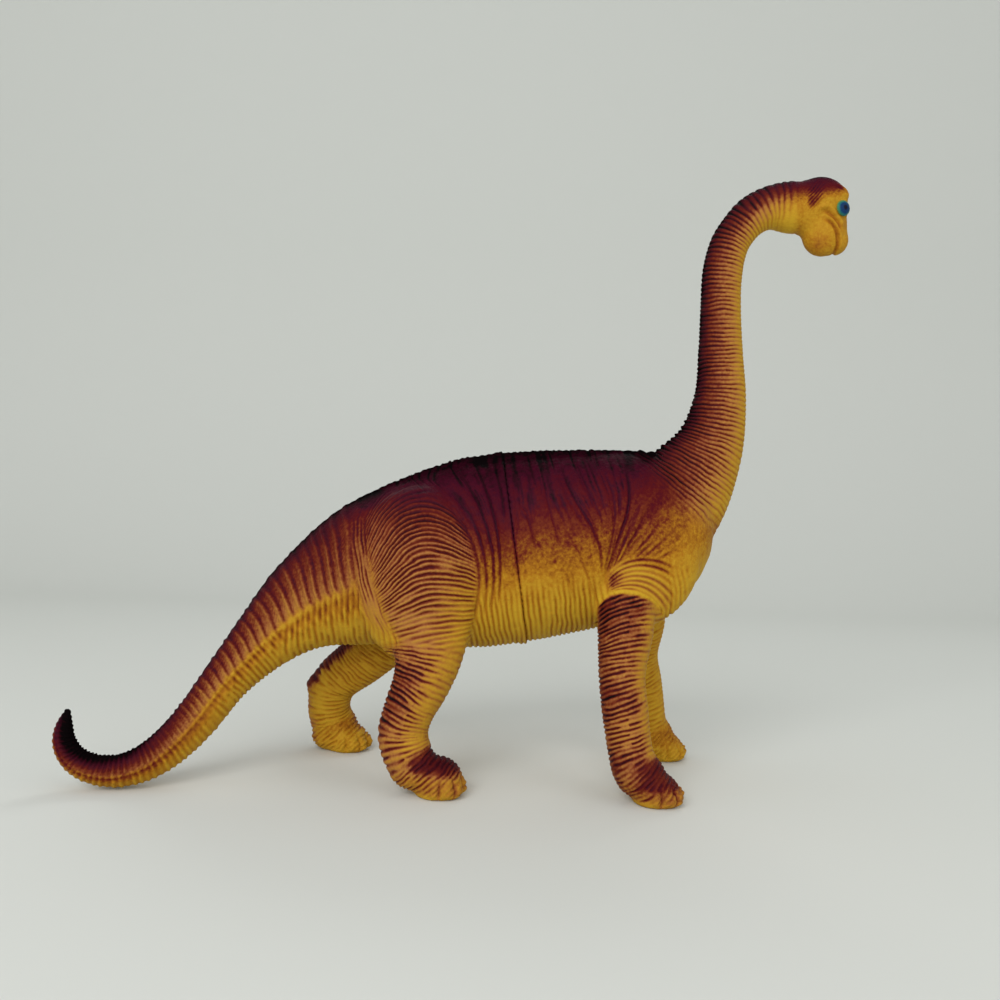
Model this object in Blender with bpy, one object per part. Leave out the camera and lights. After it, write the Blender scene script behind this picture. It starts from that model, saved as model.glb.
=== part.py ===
"""Toy sauropod: a hollow soft-vinyl figure, moulded in two halves that plug together at the waist.

Metres, +Z up. The head points to +X and the soles stand on z = 0. The animal's right side faces -Y.
Run with: blender --background --python part.py
"""

import math

import bmesh
import bpy
import numpy as np
from mathutils import Matrix, Vector

# Trunk: from the root of the tail to the front of the chest
TRUNK_LENGTH = 0.1092
TRUNK_HEIGHT = 0.0636
TRUNK_WIDTH = 0.0510
BELLY_HEIGHT = 0.0429  # floor to belly at the waist

# Tail
TAIL_REACH = 0.0897  # from its root back to the outside of the curl
TAIL_ROOT_HEIGHT = 0.0410
TAIL_ROOT_WIDTH = 0.0350
TAIL_SWING = 0.0315  # how far the curl stands out to the animal's right

# Neck
NECK_RISE = 0.1062
NECK_REACH = 0.0475
NECK_DEPTH = 0.0133  # front to back at its slim middle
NECK_WIDTH = 0.0134

# Head
HEAD_LENGTH = 0.0262  # crown to muzzle, because the head hangs nose down
HEAD_DEPTH = 0.0160
HEAD_WIDTH = 0.0152
EYE_DIAMETER = 0.0050

# Legs
FORELEG_DEPTH = 0.0142
FORELEG_WIDTH = 0.0144
SHOULDER_WIDTH = 0.0240
THIGH_WIDTH = 0.0300
SHANK_DEPTH = 0.0156
SHANK_WIDTH = 0.0156
LEG_ROOT_SPREAD = 0.0280  # between the leg centres inside the body
STANCE_WIDTH = 0.0545  # between the left and right foot centres

# Feet
FOOT_LENGTH = 0.0195
FOOT_WIDTH = 0.0185
FOOT_HEIGHT = 0.0120
TOE_DIAMETER = 0.0054

# Vinyl wall and the plug joint at the waist
WALL = 0.0022
JOINT_GAP = 0.0003
COLLAR_CLEARANCE = 0.0004
COLLAR_LENGTH = 0.0090
COLLAR_SEAT = 0.0060  # how deep the collar is rooted in the front half
COLLAR_WALL = 0.0018
COLLAR_CHAMFER = 0.0008

# Surface density
SKIN_GRAIN = 0.0009
skin_detail_share = 0.052
smoothing_share = 0.5
SMOOTHING_ROUNDS = 12
SKIN_SIDES = 48
SKIN_STEPS = 8
TRUNK_CAVITY_SIDES = 24
LIMB_CAVITY_SIDES = 12
CAVITY_STEPS = 2
DOME_RINGS = 3
slope_reach_share = 0.01  # of the way between two sections, for a curve's direction
CREASE_ANGLE = 50.0

# Trunk sections: (along, up, half height, half width) as shares of length, height, height and width
TRUNK_SHARES = (
    (0.000, 0.343, 0.393, 0.402),
    (0.137, 0.408, 0.447, 0.441),
    (0.284, 0.459, 0.490, 0.471),
    (0.430, 0.502, 0.491, 0.490),
    (0.568, 0.536, 0.474, 0.500),
    (0.696, 0.569, 0.448, 0.490),
    (0.806, 0.592, 0.417, 0.461),
    (0.893, 0.592, 0.356, 0.400),
    (0.943, 0.583, 0.290, 0.343),
    (0.977, 0.578, 0.212, 0.250),
    (0.995, 0.576, 0.125, 0.135),
    (1.002, 0.575, 0.040, 0.045),
)
waist_share = 0.412
trunk_cavity_end_share = 0.943

# Tail sections, tip first: (back, height, swing, half depth, half width) as shares of
# the reach, the height of the trunk's rear end, the swing, and the root's own sizes
TAIL_SHARES = (
    (0.966, 0.355, 1.000, 0.032, 0.037),
    (0.977, 0.293, 1.000, 0.061, 0.071),
    (0.977, 0.222, 1.000, 0.080, 0.094),
    (0.949, 0.145, 0.985, 0.093, 0.109),
    (0.886, 0.096, 0.970, 0.106, 0.123),
    (0.794, 0.085, 0.926, 0.120, 0.137),
    (0.696, 0.137, 0.810, 0.141, 0.160),
    (0.597, 0.271, 0.618, 0.163, 0.186),
    (0.491, 0.486, 0.410, 0.190, 0.223),
    (0.372, 0.680, 0.220, 0.268, 0.294),
    (0.260, 0.821, 0.088, 0.378, 0.386),
    (0.139, 0.917, 0.015, 0.500, 0.500),
)
TAIL_CAVITY_FIRST_ROW = 7

# Neck sections: (ahead, up, half depth, half width) as shares of reach, rise, depth and width
NECK_SHARES = (
    (0.000, 0.000, 1.470, 1.190),
    (0.168, 0.075, 1.287, 1.080),
    (0.305, 0.165, 1.066, 0.918),
    (0.413, 0.262, 0.809, 0.776),
    (0.467, 0.400, 0.632, 0.642),
    (0.461, 0.532, 0.548, 0.552),
    (0.453, 0.669, 0.500, 0.507),
    (0.456, 0.786, 0.485, 0.493),
    (0.497, 0.872, 0.471, 0.485),
    (0.564, 0.925, 0.463, 0.485),
    (0.644, 0.965, 0.489, 0.500),
    (0.756, 0.992, 0.522, 0.522),
    (0.878, 0.997, 0.625, 0.537),
    (1.000, 0.995, 0.650, 0.545),
)
neck_root_share = (0.815, 0.629)  # where the neck starts in the trunk, along and up
neck_root_hollow_share = 0.70

# Head forms: (ahead, up, half depth, half length, half width) from the end of the neck,
# as shares of depth, length, depth, length and width: cranium, face, nose and jaw
HEAD_SHARES = (
    (0.362, 0.100, 0.562, 0.305, 0.470),
    (0.519, -0.236, 0.377, 0.363, 0.425),
    (0.690, -0.396, 0.269, 0.186, 0.330),
    (0.425, -0.350, 0.400, 0.252, 0.410),
)
brow_share = (0.669, 0.176, 0.283)  # ahead, up and to the side
brow_size_shares = (0.2375, 0.065, 0.145)
BROW_PITCH = 30.0
eye_share = (0.719, -0.060, 0.309)

# Leg sections, top first: (ahead, up, out, half depth, half width) as shares of the height of
# the leg's root, twice, the way from root to foot, and the leg's own depth and width
RIGHT_FORELEG_SHARES = (
    (0.008, 1.090, 0.00, 0.53, 0.42),
    (0.000, 0.940, 0.20, 0.65, 0.57),
    (-0.001, 0.758, 0.38, 0.61, 0.56),
    (-0.017, 0.560, 0.60, 0.51, 0.51),
    (-0.001, 0.394, 0.76, 0.50, 0.50),
    (0.017, 0.258, 0.87, 0.48, 0.50),
    (0.041, 0.150, 0.98, 0.49, 0.53),
)
LEFT_FORELEG_SHARES = (
    (0.045, 1.090, 0.00, 0.53, 0.42),
    (0.106, 0.940, 0.20, 0.65, 0.57),
    (0.148, 0.758, 0.38, 0.61, 0.56),
    (0.141, 0.560, 0.60, 0.51, 0.51),
    (0.174, 0.409, 0.76, 0.50, 0.50),
    (0.199, 0.273, 0.87, 0.48, 0.50),
    (0.215, 0.150, 1.00, 0.49, 0.53),
)
RIGHT_HIND_LEG_SHARES = (
    (0.005, 0.940, 0.10, 0.96, 0.60),
    (0.025, 0.758, 0.30, 0.87, 0.57),
    (0.036, 0.629, 0.48, 0.70, 0.56),
    (0.008, 0.500, 0.62, 0.58, 0.54),
    (-0.045, 0.371, 0.72, 0.50, 0.50),
    (-0.070, 0.260, 0.78, 0.49, 0.49),
    (-0.040, 0.170, 0.86, 0.49, 0.50),
)
LEFT_HIND_LEG_SHARES = (
    (-0.045, 0.940, 0.10, 0.96, 0.60),
    (-0.140, 0.742, 0.32, 0.83, 0.57),
    (-0.245, 0.606, 0.50, 0.68, 0.56),
    (-0.362, 0.480, 0.63, 0.57, 0.54),
    (-0.490, 0.350, 0.75, 0.50, 0.50),
    (-0.550, 0.235, 0.83, 0.51, 0.49),
    (-0.550, 0.150, 0.96, 0.53, 0.50),
)
shoulder_share = (0.733, 0.377)  # the roots of the legs on the trunk, along and up
hip_share = (0.156, 0.377)

# Muscle forms at the roots of the legs: (ahead, up, side, half length, half height, half width)
# as shares of the root's height, twice, half the spread, the root's height, twice, and the width
SHOULDER_FORM_SHARES = (0.050, 1.120, 0.90, 0.310, 0.360, 0.50)
RIGHT_THIGH_FORM_SHARES = (-0.020, 0.980, 0.96, 0.330, 0.420, 0.50)
LEFT_THIGH_FORM_SHARES = (-0.065, 0.960, 0.96, 0.325, 0.410, 0.50)

# Feet: (ahead, up, half length, half height, half width) as shares of length, height and width
HEEL_SHARES = (0.090, 0.680, 0.400, 0.590, 0.432)
FORE_PAD_SHARES = (0.000, 0.270, 0.390, 0.520, 0.476)
HIND_PAD_SHARES = (0.000, 0.330, 0.400, 0.640, 0.470)
TOE_SHARES = (
    (0.225, 0.215, -0.285),
    (0.290, 0.215, 0.000),
    (0.225, 0.215, 0.285),
)
# How far the toe pad lies ahead of the ankle on each foot, as a share of the foot's length
right_fore_pad_share = 0.335
left_fore_pad_share = 0.290
right_hind_pad_share = 0.475
left_hind_pad_share = 0.360


def clear_scene():
    for thing in list(bpy.data.objects):
        bpy.data.objects.remove(thing, do_unlink=True)


def vinyl(name, colour, roughness):
    """A painted soft-vinyl material."""
    material = bpy.data.materials.new(name)
    material.use_nodes = True
    shader = material.node_tree.nodes["Principled BSDF"]
    shader.inputs["Base Color"].default_value = (*colour, 1.0)
    shader.inputs["Roughness"].default_value = roughness
    shader.inputs["Metallic"].default_value = 0.0
    material.diffuse_color = (*colour, 1.0)
    return material


def smooth_row(rows, at):
    """The row at a place between the given rows, on a smooth curve through all of them."""
    rows = np.asarray(rows, float)
    steps = np.linalg.norm(np.diff(rows[:, :3], axis=0), axis=1)
    knots = np.concatenate([[0.0], np.cumsum(steps)])
    slopes = np.empty_like(rows)
    slopes[1:-1] = (rows[2:] - rows[:-2]) / (knots[2:] - knots[:-2])[:, None]
    slopes[0] = (rows[1] - rows[0]) / steps[0]
    slopes[-1] = (rows[-1] - rows[-2]) / steps[-1]
    place = min(max(at, 0.0), len(rows) - 1.0)
    first = min(int(place), len(rows) - 2)
    t = place - first
    span = steps[first]
    return (
        (2 * t**3 - 3 * t**2 + 1) * rows[first]
        + (t**3 - 2 * t**2 + t) * span * slopes[first]
        + (3 * t**2 - 2 * t**3) * rows[first + 1]
        + (t**3 - t**2) * span * slopes[first + 1]
    )


def axes_at(rows, at):
    """The centre, direction, side, up, half depth and half width of a limb's section."""
    here = smooth_row(rows, at)
    before = smooth_row(rows, at - slope_reach_share)
    after = smooth_row(rows, at + slope_reach_share)
    ahead = Vector(after[:3] - before[:3]).normalized()
    across = Vector((0.0, 1.0, 0.0))
    side = (across - ahead * across.dot(ahead)).normalized()
    return Vector(here[:3]), ahead, side, ahead.cross(side), here[3], here[4]


def ring(bm, centre, side, up, depth, width, sides):
    turns = [2 * math.pi * k / sides for k in range(sides)]
    return [bm.verts.new(centre + up * (depth * math.sin(a)) + side * (width * math.cos(a))) for a in turns]


def join_rings(bm, rings):
    """Skins a row of rings and closes both ends with a fan."""
    sides = len(rings[0])
    for low, high in zip(rings, rings[1:]):
        for k in range(sides):
            n = (k + 1) % sides
            bm.faces.new((low[k], low[n], high[n], high[k]))
    for end in (rings[0], rings[-1]):
        middle = bm.verts.new(sum((v.co for v in end), Vector()) / sides)
        for k in range(sides):
            bm.faces.new((end[k], end[(k + 1) % sides], middle))


def tube(bm, rows, sides, steps, round_ends=()):
    """A closed tube through the rows (x, y, z, half depth, half width), domed at -1, its start, or 1."""
    count = (len(rows) - 1) * steps + 1
    sections = [axes_at(rows, i / steps) for i in range(count)]
    rings = [ring(bm, c, side, up, depth, width, sides) for c, _, side, up, depth, width in sections]
    for sign in round_ends:
        centre, ahead, side, up, depth, width = sections[-1 if sign > 0 else 0]
        for i in range(1, DOME_RINGS + 1):
            angle = math.pi / 2 * i / (DOME_RINGS + 1)
            moved = centre + ahead * (sign * min(depth, width) * math.sin(angle))
            shrink = math.cos(angle)
            made = ring(bm, moved, side, up, depth * shrink, width * shrink, sides)
            rings.insert(len(rings) if sign > 0 else 0, made)
    join_rings(bm, rings)


def ellipsoid(bm, centre, half_sizes, pitch=0.0):
    """A round form whose nose is pitched down by the angle, in degrees."""
    turn = Matrix.Rotation(math.radians(pitch), 4, "Y")
    place = Matrix.Translation(centre) @ turn @ Matrix.Diagonal((*half_sizes, 1.0))
    bmesh.ops.create_uvsphere(bm, u_segments=SKIN_SIDES, v_segments=SKIN_SIDES // 2, radius=1.0, matrix=place)


def new_object(name, bm, material=None):
    bmesh.ops.recalc_face_normals(bm, faces=bm.faces)
    mesh = bpy.data.meshes.new(name)
    bm.to_mesh(mesh)
    bm.free()
    made = bpy.data.objects.new(name, mesh)
    bpy.context.scene.collection.objects.link(made)
    if material:
        mesh.materials.append(material)
    return made


def as_helper(thing):
    """Keeps a cutter or a form out of the finished figure."""
    thing.hide_render = True
    thing.display_type = "WIRE"
    return thing


def evaluated_mesh(thing):
    graph = bpy.context.evaluated_depsgraph_get()
    return bpy.data.meshes.new_from_object(thing.evaluated_get(graph), depsgraph=graph)


def boolean(thing, other, operation):
    cut = thing.modifiers.new(operation.title() + " " + other.name, "BOOLEAN")
    cut.object = other
    cut.operation = operation
    cut.solver = "EXACT"


def on_trunk(along, up):
    return Vector((along * TRUNK_LENGTH, 0.0, BELLY_HEIGHT + up * TRUNK_HEIGHT))


def tail_rows():
    root = on_trunk(*TRUNK_SHARES[0][:2])
    return [
        (
            root.x - back * TAIL_REACH,
            -swing * TAIL_SWING,
            height * root.z,
            depth * TAIL_ROOT_HEIGHT,
            width * TAIL_ROOT_WIDTH,
        )
        for back, height, swing, depth, width in TAIL_SHARES
    ]


def trunk_rows():
    return [
        (*on_trunk(along, up), depth * TRUNK_HEIGHT, width * TRUNK_WIDTH)
        for along, up, depth, width in TRUNK_SHARES
    ]


def body_rows():
    """Tail and trunk on one curve, from the tip of the tail to the chest."""
    return tail_rows() + trunk_rows()


def neck_rows():
    root = on_trunk(*neck_root_share)
    return [
        (root.x + ahead * NECK_REACH, 0.0, root.z + up * NECK_RISE, depth * NECK_DEPTH, width * NECK_WIDTH)
        for ahead, up, depth, width in NECK_SHARES
    ]


def leg_rows(root, sign, shares, leg_depth, leg_width):
    """One leg from its root in the body down to the ankle; sign -1 is the animal's right."""
    rows = []
    for ahead, up, out, depth, width in shares:
        spread = LEG_ROOT_SPREAD + out * (STANCE_WIDTH - LEG_ROOT_SPREAD)
        y = sign * spread / 2
        rows.append((root.x + ahead * root.z, y, up * root.z, depth * leg_depth, width * leg_width))
    return rows


def legs():
    """Rows, toe pad and muscle form of each leg, with the form's place and width."""
    shoulder = on_trunk(*shoulder_share)
    hip = on_trunk(*hip_share)
    fore = (FORELEG_DEPTH, FORELEG_WIDTH)
    hind = (SHANK_DEPTH, SHANK_WIDTH)
    made = []
    for root, sign, shares, sizes, pad, form, width in (
        (shoulder, -1, RIGHT_FORELEG_SHARES, fore, right_fore_pad_share, SHOULDER_FORM_SHARES, SHOULDER_WIDTH),
        (shoulder, 1, LEFT_FORELEG_SHARES, fore, left_fore_pad_share, SHOULDER_FORM_SHARES, SHOULDER_WIDTH),
        (hip, -1, RIGHT_HIND_LEG_SHARES, hind, right_hind_pad_share, RIGHT_THIGH_FORM_SHARES, THIGH_WIDTH),
        (hip, 1, LEFT_HIND_LEG_SHARES, hind, left_hind_pad_share, LEFT_THIGH_FORM_SHARES, THIGH_WIDTH),
    ):
        toe_pad = (FORE_PAD_SHARES if root is shoulder else HIND_PAD_SHARES, pad)
        made.append((leg_rows(root, sign, shares, *sizes), toe_pad, (root, sign, form, width)))
    return made


def muscle(bm, root, sign, form, width):
    """The round form of a shoulder or a thigh on the side of the trunk."""
    ahead, up, side, length, height, across = form
    centre = Vector((root.x + ahead * root.z, sign * side * LEG_ROOT_SPREAD / 2, up * root.z))
    ellipsoid(bm, centre, (length * root.z, across * width, height * root.z))


def foot(bm, ankle, pad_shares, pad_share):
    """Heel, toe pad and three toes, which run below the floor to be cut flat."""
    for shares, start in ((HEEL_SHARES, 0.0), (pad_shares, pad_share * FOOT_LENGTH)):
        ahead, up, length, height, width = shares
        centre = Vector((ankle[0] + start + ahead * FOOT_LENGTH, ankle[1], up * FOOT_HEIGHT))
        ellipsoid(bm, centre, (length * FOOT_LENGTH, width * FOOT_WIDTH, height * FOOT_HEIGHT))
    toe = TOE_DIAMETER / 2
    for ahead, up, across in TOE_SHARES:
        x = ankle[0] + (pad_share + ahead) * FOOT_LENGTH
        ellipsoid(bm, Vector((x, ankle[1] + across * FOOT_WIDTH, up * FOOT_HEIGHT)), (toe, toe, toe))


def head(bm, end):
    for ahead, up, depth, length, width in HEAD_SHARES:
        centre = end + Vector((ahead * HEAD_DEPTH, 0.0, up * HEAD_LENGTH))
        ellipsoid(bm, centre, (depth * HEAD_DEPTH, width * HEAD_WIDTH, length * HEAD_LENGTH))
    eye = EYE_DIAMETER / 2
    for sign in (-1, 1):
        ahead, up, across = brow_share
        centre = end + Vector((ahead * HEAD_DEPTH, sign * across * HEAD_WIDTH, up * HEAD_LENGTH))
        depth, length, width = brow_size_shares
        ellipsoid(bm, centre, (depth * HEAD_DEPTH, width * HEAD_WIDTH, length * HEAD_LENGTH), BROW_PITCH)
        ahead, up, across = eye_share
        centre = end + Vector((ahead * HEAD_DEPTH, sign * across * HEAD_WIDTH, up * HEAD_LENGTH))
        ellipsoid(bm, centre, (eye, eye, eye))


def build_skin():
    """The whole figure's outside as one smooth closed mesh."""
    bm = bmesh.new()
    tube(bm, body_rows(), SKIN_SIDES, SKIN_STEPS, (-1,))
    neck = neck_rows()
    tube(bm, neck, SKIN_SIDES, SKIN_STEPS, (1,))
    head(bm, Vector(neck[-1][:3]))
    for rows, toe_pad, form in legs():
        tube(bm, rows, SKIN_SIDES, SKIN_STEPS, (-1, 1))
        muscle(bm, *form)
        foot(bm, rows[-1], *toe_pad)
    forms = as_helper(new_object("skin_forms", bm))
    melt = forms.modifiers.new("Melt together", "REMESH")
    melt.mode = "VOXEL"
    melt.voxel_size = SKIN_GRAIN
    melt.adaptivity = 0.0
    relax = forms.modifiers.new("Relax creases", "SMOOTH")
    relax.factor = smoothing_share
    relax.iterations = SMOOTHING_ROUNDS
    thin = forms.modifiers.new("Thin out faces", "DECIMATE")
    thin.ratio = skin_detail_share
    return forms


def hollowed(rows):
    """The rows of the space inside the wall."""
    return [(x, y, z, depth - WALL, width - WALL) for x, y, z, depth, width in rows]


def build_cavities():
    """The hollow inside the wall: the cutters of the front half and of the rear half."""
    trunk_ends = [row[0] for row in TRUNK_SHARES].index(trunk_cavity_end_share) + 1
    body = hollowed(body_rows())[TAIL_CAVITY_FIRST_ROW : len(TAIL_SHARES) + trunk_ends]
    neck = hollowed(neck_rows())
    for i in (0, 1):
        x, y, z, depth, width = neck[i]
        neck[i] = (x, y, z, depth * neck_root_hollow_share, width * neck_root_hollow_share)
    cutters = []
    for name, rows, sides in (
        ("body_cavity", body, TRUNK_CAVITY_SIDES),
        ("neck_cavity", neck, LIMB_CAVITY_SIDES),
        *((f"leg_cavity_{i}", hollowed(leg[0]), LIMB_CAVITY_SIDES) for i, leg in enumerate(legs())),
    ):
        bm = bmesh.new()
        tube(bm, rows, sides, CAVITY_STEPS)
        cutters.append(as_helper(new_object(name, bm)))
    in_body, in_neck, *in_legs = cutters
    return [in_body, in_neck, *in_legs[:2]], [in_body, *in_legs[2:]]


def waist_axes(ahead=0.0):
    """The trunk's section where the halves meet, or a distance ahead of it."""
    shares = [row[0] for row in TRUNK_SHARES]
    along = waist_share + ahead / TRUNK_LENGTH
    place = len(TAIL_SHARES) + float(np.interp(along, shares, range(len(shares))))
    return axes_at(body_rows(), place)


def figure_reach():
    return TRUNK_LENGTH + TAIL_REACH + NECK_REACH + NECK_RISE


def half_space(name, sign):
    """A block that holds all that lies ahead (1) or behind (-1) the waist's gap."""
    centre, forward, side, up, _, _ = waist_axes()
    reach = figure_reach()
    bm = bmesh.new()
    bmesh.ops.create_cube(bm, size=2 * reach)
    turn = Matrix((forward, side, up)).transposed().to_4x4()
    shift = Matrix.Translation(centre + forward * sign * (reach + JOINT_GAP / 2))
    bmesh.ops.transform(bm, matrix=shift @ turn, verts=bm.verts)
    return as_helper(new_object(name, bm))


def above_floor():
    reach = figure_reach()
    bm = bmesh.new()
    bmesh.ops.create_cube(bm, size=2 * reach)
    bmesh.ops.translate(bm, vec=Vector((0.0, 0.0, reach)), verts=bm.verts)
    return as_helper(new_object("floor_cut", bm))


def collar():
    """The spigot ring that the front half carries into the rear half's mouth."""
    slide = WALL + COLLAR_CLEARANCE
    bore = slide + COLLAR_CHAMFER + COLLAR_WALL
    # Each stop is a place ahead of the waist and an inset from the skin, outside first
    stops = (
        (-COLLAR_LENGTH, slide + COLLAR_CHAMFER),
        (COLLAR_CHAMFER - COLLAR_LENGTH, slide),
        (JOINT_GAP, slide),
        (JOINT_GAP + COLLAR_WALL, WALL / 2),
        (COLLAR_SEAT, WALL / 2),
        (COLLAR_SEAT, bore),
        (-COLLAR_LENGTH, bore),
    )
    bm = bmesh.new()
    rings = []
    for place, inset in stops:
        centre, _, side, up, depth, width = waist_axes(place)
        rings.append(ring(bm, centre, side, up, depth - inset, width - inset, TRUNK_CAVITY_SIDES))
    for low, high in zip(rings, rings[1:] + rings[:1]):
        for k in range(TRUNK_CAVITY_SIDES):
            n = (k + 1) % TRUNK_CAVITY_SIDES
            bm.faces.new((low[k], low[n], high[n], high[k]))
    return as_helper(new_object("collar_form", bm))


def half_shell(name, mesh, half, floor, cavities, material):
    shell = bpy.data.objects.new(name, mesh)
    bpy.context.scene.collection.objects.link(shell)
    mesh.materials.clear()
    mesh.materials.append(material)
    boolean(shell, half, "INTERSECT")
    boolean(shell, floor, "INTERSECT")
    for cavity in cavities:
        boolean(shell, cavity, "DIFFERENCE")
    return shell


def finish(shell):
    """Makes the shell's modifiers its mesh and shades its round faces smooth."""
    mesh = evaluated_mesh(shell)
    shell.modifiers.clear()
    shell.data = mesh
    mesh.name = shell.name
    mesh.shade_smooth()
    mesh.set_sharp_from_angle(angle=math.radians(CREASE_ANGLE))


def stand_over_origin(shells):
    """Moves the figure so that its box is centred over the origin."""
    corners = [v.co for shell in shells for v in shell.data.vertices]
    middle_x = (min(c.x for c in corners) + max(c.x for c in corners)) / 2
    middle_y = (min(c.y for c in corners) + max(c.y for c in corners)) / 2
    for shell in shells:
        shell.data.transform(Matrix.Translation((-middle_x, -middle_y, 0.0)))


def main():
    clear_scene()
    skin = build_skin()
    floor = above_floor()
    front_cavities, rear_cavities = build_cavities()
    front = half_shell(
        "front_shell",
        evaluated_mesh(skin),
        half_space("front_half", 1),
        floor,
        front_cavities,
        vinyl("front_vinyl", (0.55, 0.23, 0.05), 0.45),
    )
    boolean(front, collar(), "UNION")
    rear = half_shell(
        "rear_shell",
        evaluated_mesh(skin),
        half_space("rear_half", -1),
        floor,
        rear_cavities,
        vinyl("rear_vinyl", (0.42, 0.13, 0.06), 0.45),
    )
    shells = [front, rear]
    for shell in shells:
        finish(shell)
    stand_over_origin(shells)


main()
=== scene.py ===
# %% [markdown]
# # A toy sauropod in painted soft vinyl
#
# The real toy is two hollow mouldings of soft vinyl, plugged together at the waist. The skin is
# moulded with ribs, folds and fine pebbles, and it is sprayed in soft-edged coats: golden yellow
# all over, orange on the flanks, maroon from above and nearly black along the spine.
#
# The plan is the same as a sculptor's. Plain forms are melted into one smooth body, the body is
# cut in two at the waist, the ribs and folds are pressed into it, and the paint comes last.

import math

import bmesh
import bpy
import numpy as np
from mathutils import Matrix, Vector


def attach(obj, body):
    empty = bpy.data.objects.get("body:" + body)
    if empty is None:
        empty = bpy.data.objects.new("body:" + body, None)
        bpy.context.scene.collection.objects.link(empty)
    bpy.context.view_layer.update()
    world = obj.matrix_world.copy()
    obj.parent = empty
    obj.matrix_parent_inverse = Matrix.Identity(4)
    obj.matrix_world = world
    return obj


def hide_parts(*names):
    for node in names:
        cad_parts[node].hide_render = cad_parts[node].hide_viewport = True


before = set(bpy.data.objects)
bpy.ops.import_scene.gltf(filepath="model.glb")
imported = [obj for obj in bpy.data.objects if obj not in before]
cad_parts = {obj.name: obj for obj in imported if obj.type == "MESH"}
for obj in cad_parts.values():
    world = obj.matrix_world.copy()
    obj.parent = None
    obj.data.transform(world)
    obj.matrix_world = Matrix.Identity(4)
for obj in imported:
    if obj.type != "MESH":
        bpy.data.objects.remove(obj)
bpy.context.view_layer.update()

# %% [markdown]
# Sizes are easier to read in millimetres, so every table below is in them, and one constant turns
# them to metres. A colour is written as the usual hex value. Blender mixes light in linear
# numbers, so one function turns hex to linear.

# %% Units and colours
MM = 0.001


def linear(hex_colour):
    """A hex colour as linear red, green, blue and 1."""
    channels = [int(hex_colour[i : i + 2], 16) / 255 for i in (0, 2, 4)]
    return (*[c / 12.92 if c <= 0.04045 else ((c + 0.055) / 1.055) ** 2.4 for c in channels], 1.0)


def deselect():
    """Leaves edit mode and selects nothing."""
    if bpy.context.object and bpy.context.object.mode != "OBJECT":
        bpy.ops.object.mode_set(mode="OBJECT")
    bpy.ops.object.select_all(action="DESELECT")


def pick(*things):
    """Selects these objects alone and makes the last one active."""
    deselect()
    for thing in things:
        thing.select_set(True)
    bpy.context.view_layer.objects.active = things[-1]


def apply_all(thing):
    """Applies the modifiers of an object from the top down."""
    pick(thing)
    for modifier in list(thing.modifiers):
        bpy.ops.object.modifier_apply(modifier=modifier.name)


# %% [markdown]
# ## Sections of the limbs
#
# Each limb is a row of oval sections, read like a boat builder's table: the middle of the
# section, its half depth and its half width. A smooth curve through the rows gives a section
# anywhere between them.

# %% Tables of the limbs: x, y, z, half depth, half width in mm
BODY = (
    (-116.9, -31.7, 23.0, 1.3, 1.3),
    (-117.8, -31.7, 19.0, 2.5, 2.5),
    (-117.8, -31.7, 14.4, 3.3, 3.3),
    (-115.3, -31.2, 9.4, 3.8, 3.8),
    (-109.7, -30.8, 6.2, 4.3, 4.3),
    (-101.4, -29.4, 5.5, 4.9, 4.8),
    (-92.6, -25.7, 8.9, 5.8, 5.6),
    (-83.8, -19.7, 17.5, 6.7, 6.5),
    (-74.2, -13.1, 31.5, 7.8, 7.8),
    (-63.6, -7.1, 44.0, 11.0, 10.3),
    (-53.5, -3.0, 53.1, 15.5, 13.5),
    (-42.7, -0.7, 59.3, 20.5, 17.5),
    (-30.2, -0.2, 64.7, 25.0, 20.5),
    (-15.2, -0.2, 68.8, 28.4, 22.5),
    (0.8, -0.2, 72.1, 31.2, 24.0),
    (16.8, -0.2, 74.8, 31.2, 25.0),
    (31.8, -0.2, 77.0, 30.1, 25.5),
    (45.8, -0.2, 79.1, 28.5, 25.0),
    (57.8, -0.2, 80.6, 26.5, 23.5),
    (67.3, -0.2, 80.6, 22.6, 20.4),
    (72.8, -0.2, 80.0, 18.4, 17.5),
    (76.5, -0.2, 79.7, 13.5, 12.8),
    (78.5, -0.2, 79.5, 8.0, 6.9),
    (79.2, -0.2, 79.5, 2.5, 2.3),
)
NECK = (
    (58.8, -0.2, 82.9, 19.6, 15.9),
    (66.8, -0.2, 90.9, 17.1, 14.5),
    (73.3, -0.2, 100.4, 14.2, 12.3),
    (78.4, -0.2, 110.7, 10.8, 10.4),
    (81.0, -0.2, 125.4, 8.4, 8.6),
    (80.7, -0.2, 139.4, 7.3, 7.4),
    (80.3, -0.2, 154.0, 6.6, 6.8),
    (80.5, -0.2, 166.4, 6.5, 6.6),
    (82.4, -0.2, 175.5, 6.3, 6.5),
    (85.6, -0.2, 181.1, 6.2, 6.5),
    (89.4, -0.2, 185.4, 6.5, 6.7),
    (94.7, -0.2, 188.3, 6.9, 7.0),
    (100.5, -0.2, 188.8, 8.3, 7.2),
    (106.3, -0.2, 188.6, 8.6, 7.3),
)
RIGHT_FORELEG = (
    (50.4, -14.2, 72.9, 7.5, 6.0),
    (49.8, -16.9, 62.9, 9.2, 8.2),
    (49.8, -19.2, 50.7, 8.7, 8.1),
    (48.7, -22.1, 37.5, 7.2, 7.3),
    (49.8, -24.3, 26.3, 7.1, 7.2),
    (51.0, -25.7, 17.3, 6.8, 7.2),
    (52.6, -27.2, 10.0, 7.0, 7.6),
)
LEFT_FORELEG = (
    (52.9, 13.8, 72.9, 7.5, 6.0),
    (56.9, 16.5, 62.9, 9.2, 8.2),
    (59.7, 18.8, 50.7, 8.7, 8.1),
    (59.3, 21.7, 37.5, 7.2, 7.3),
    (61.5, 23.9, 27.4, 7.1, 7.2),
    (63.2, 25.3, 18.3, 6.8, 7.2),
    (64.2, 27.0, 10.0, 7.0, 7.6),
)
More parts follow.
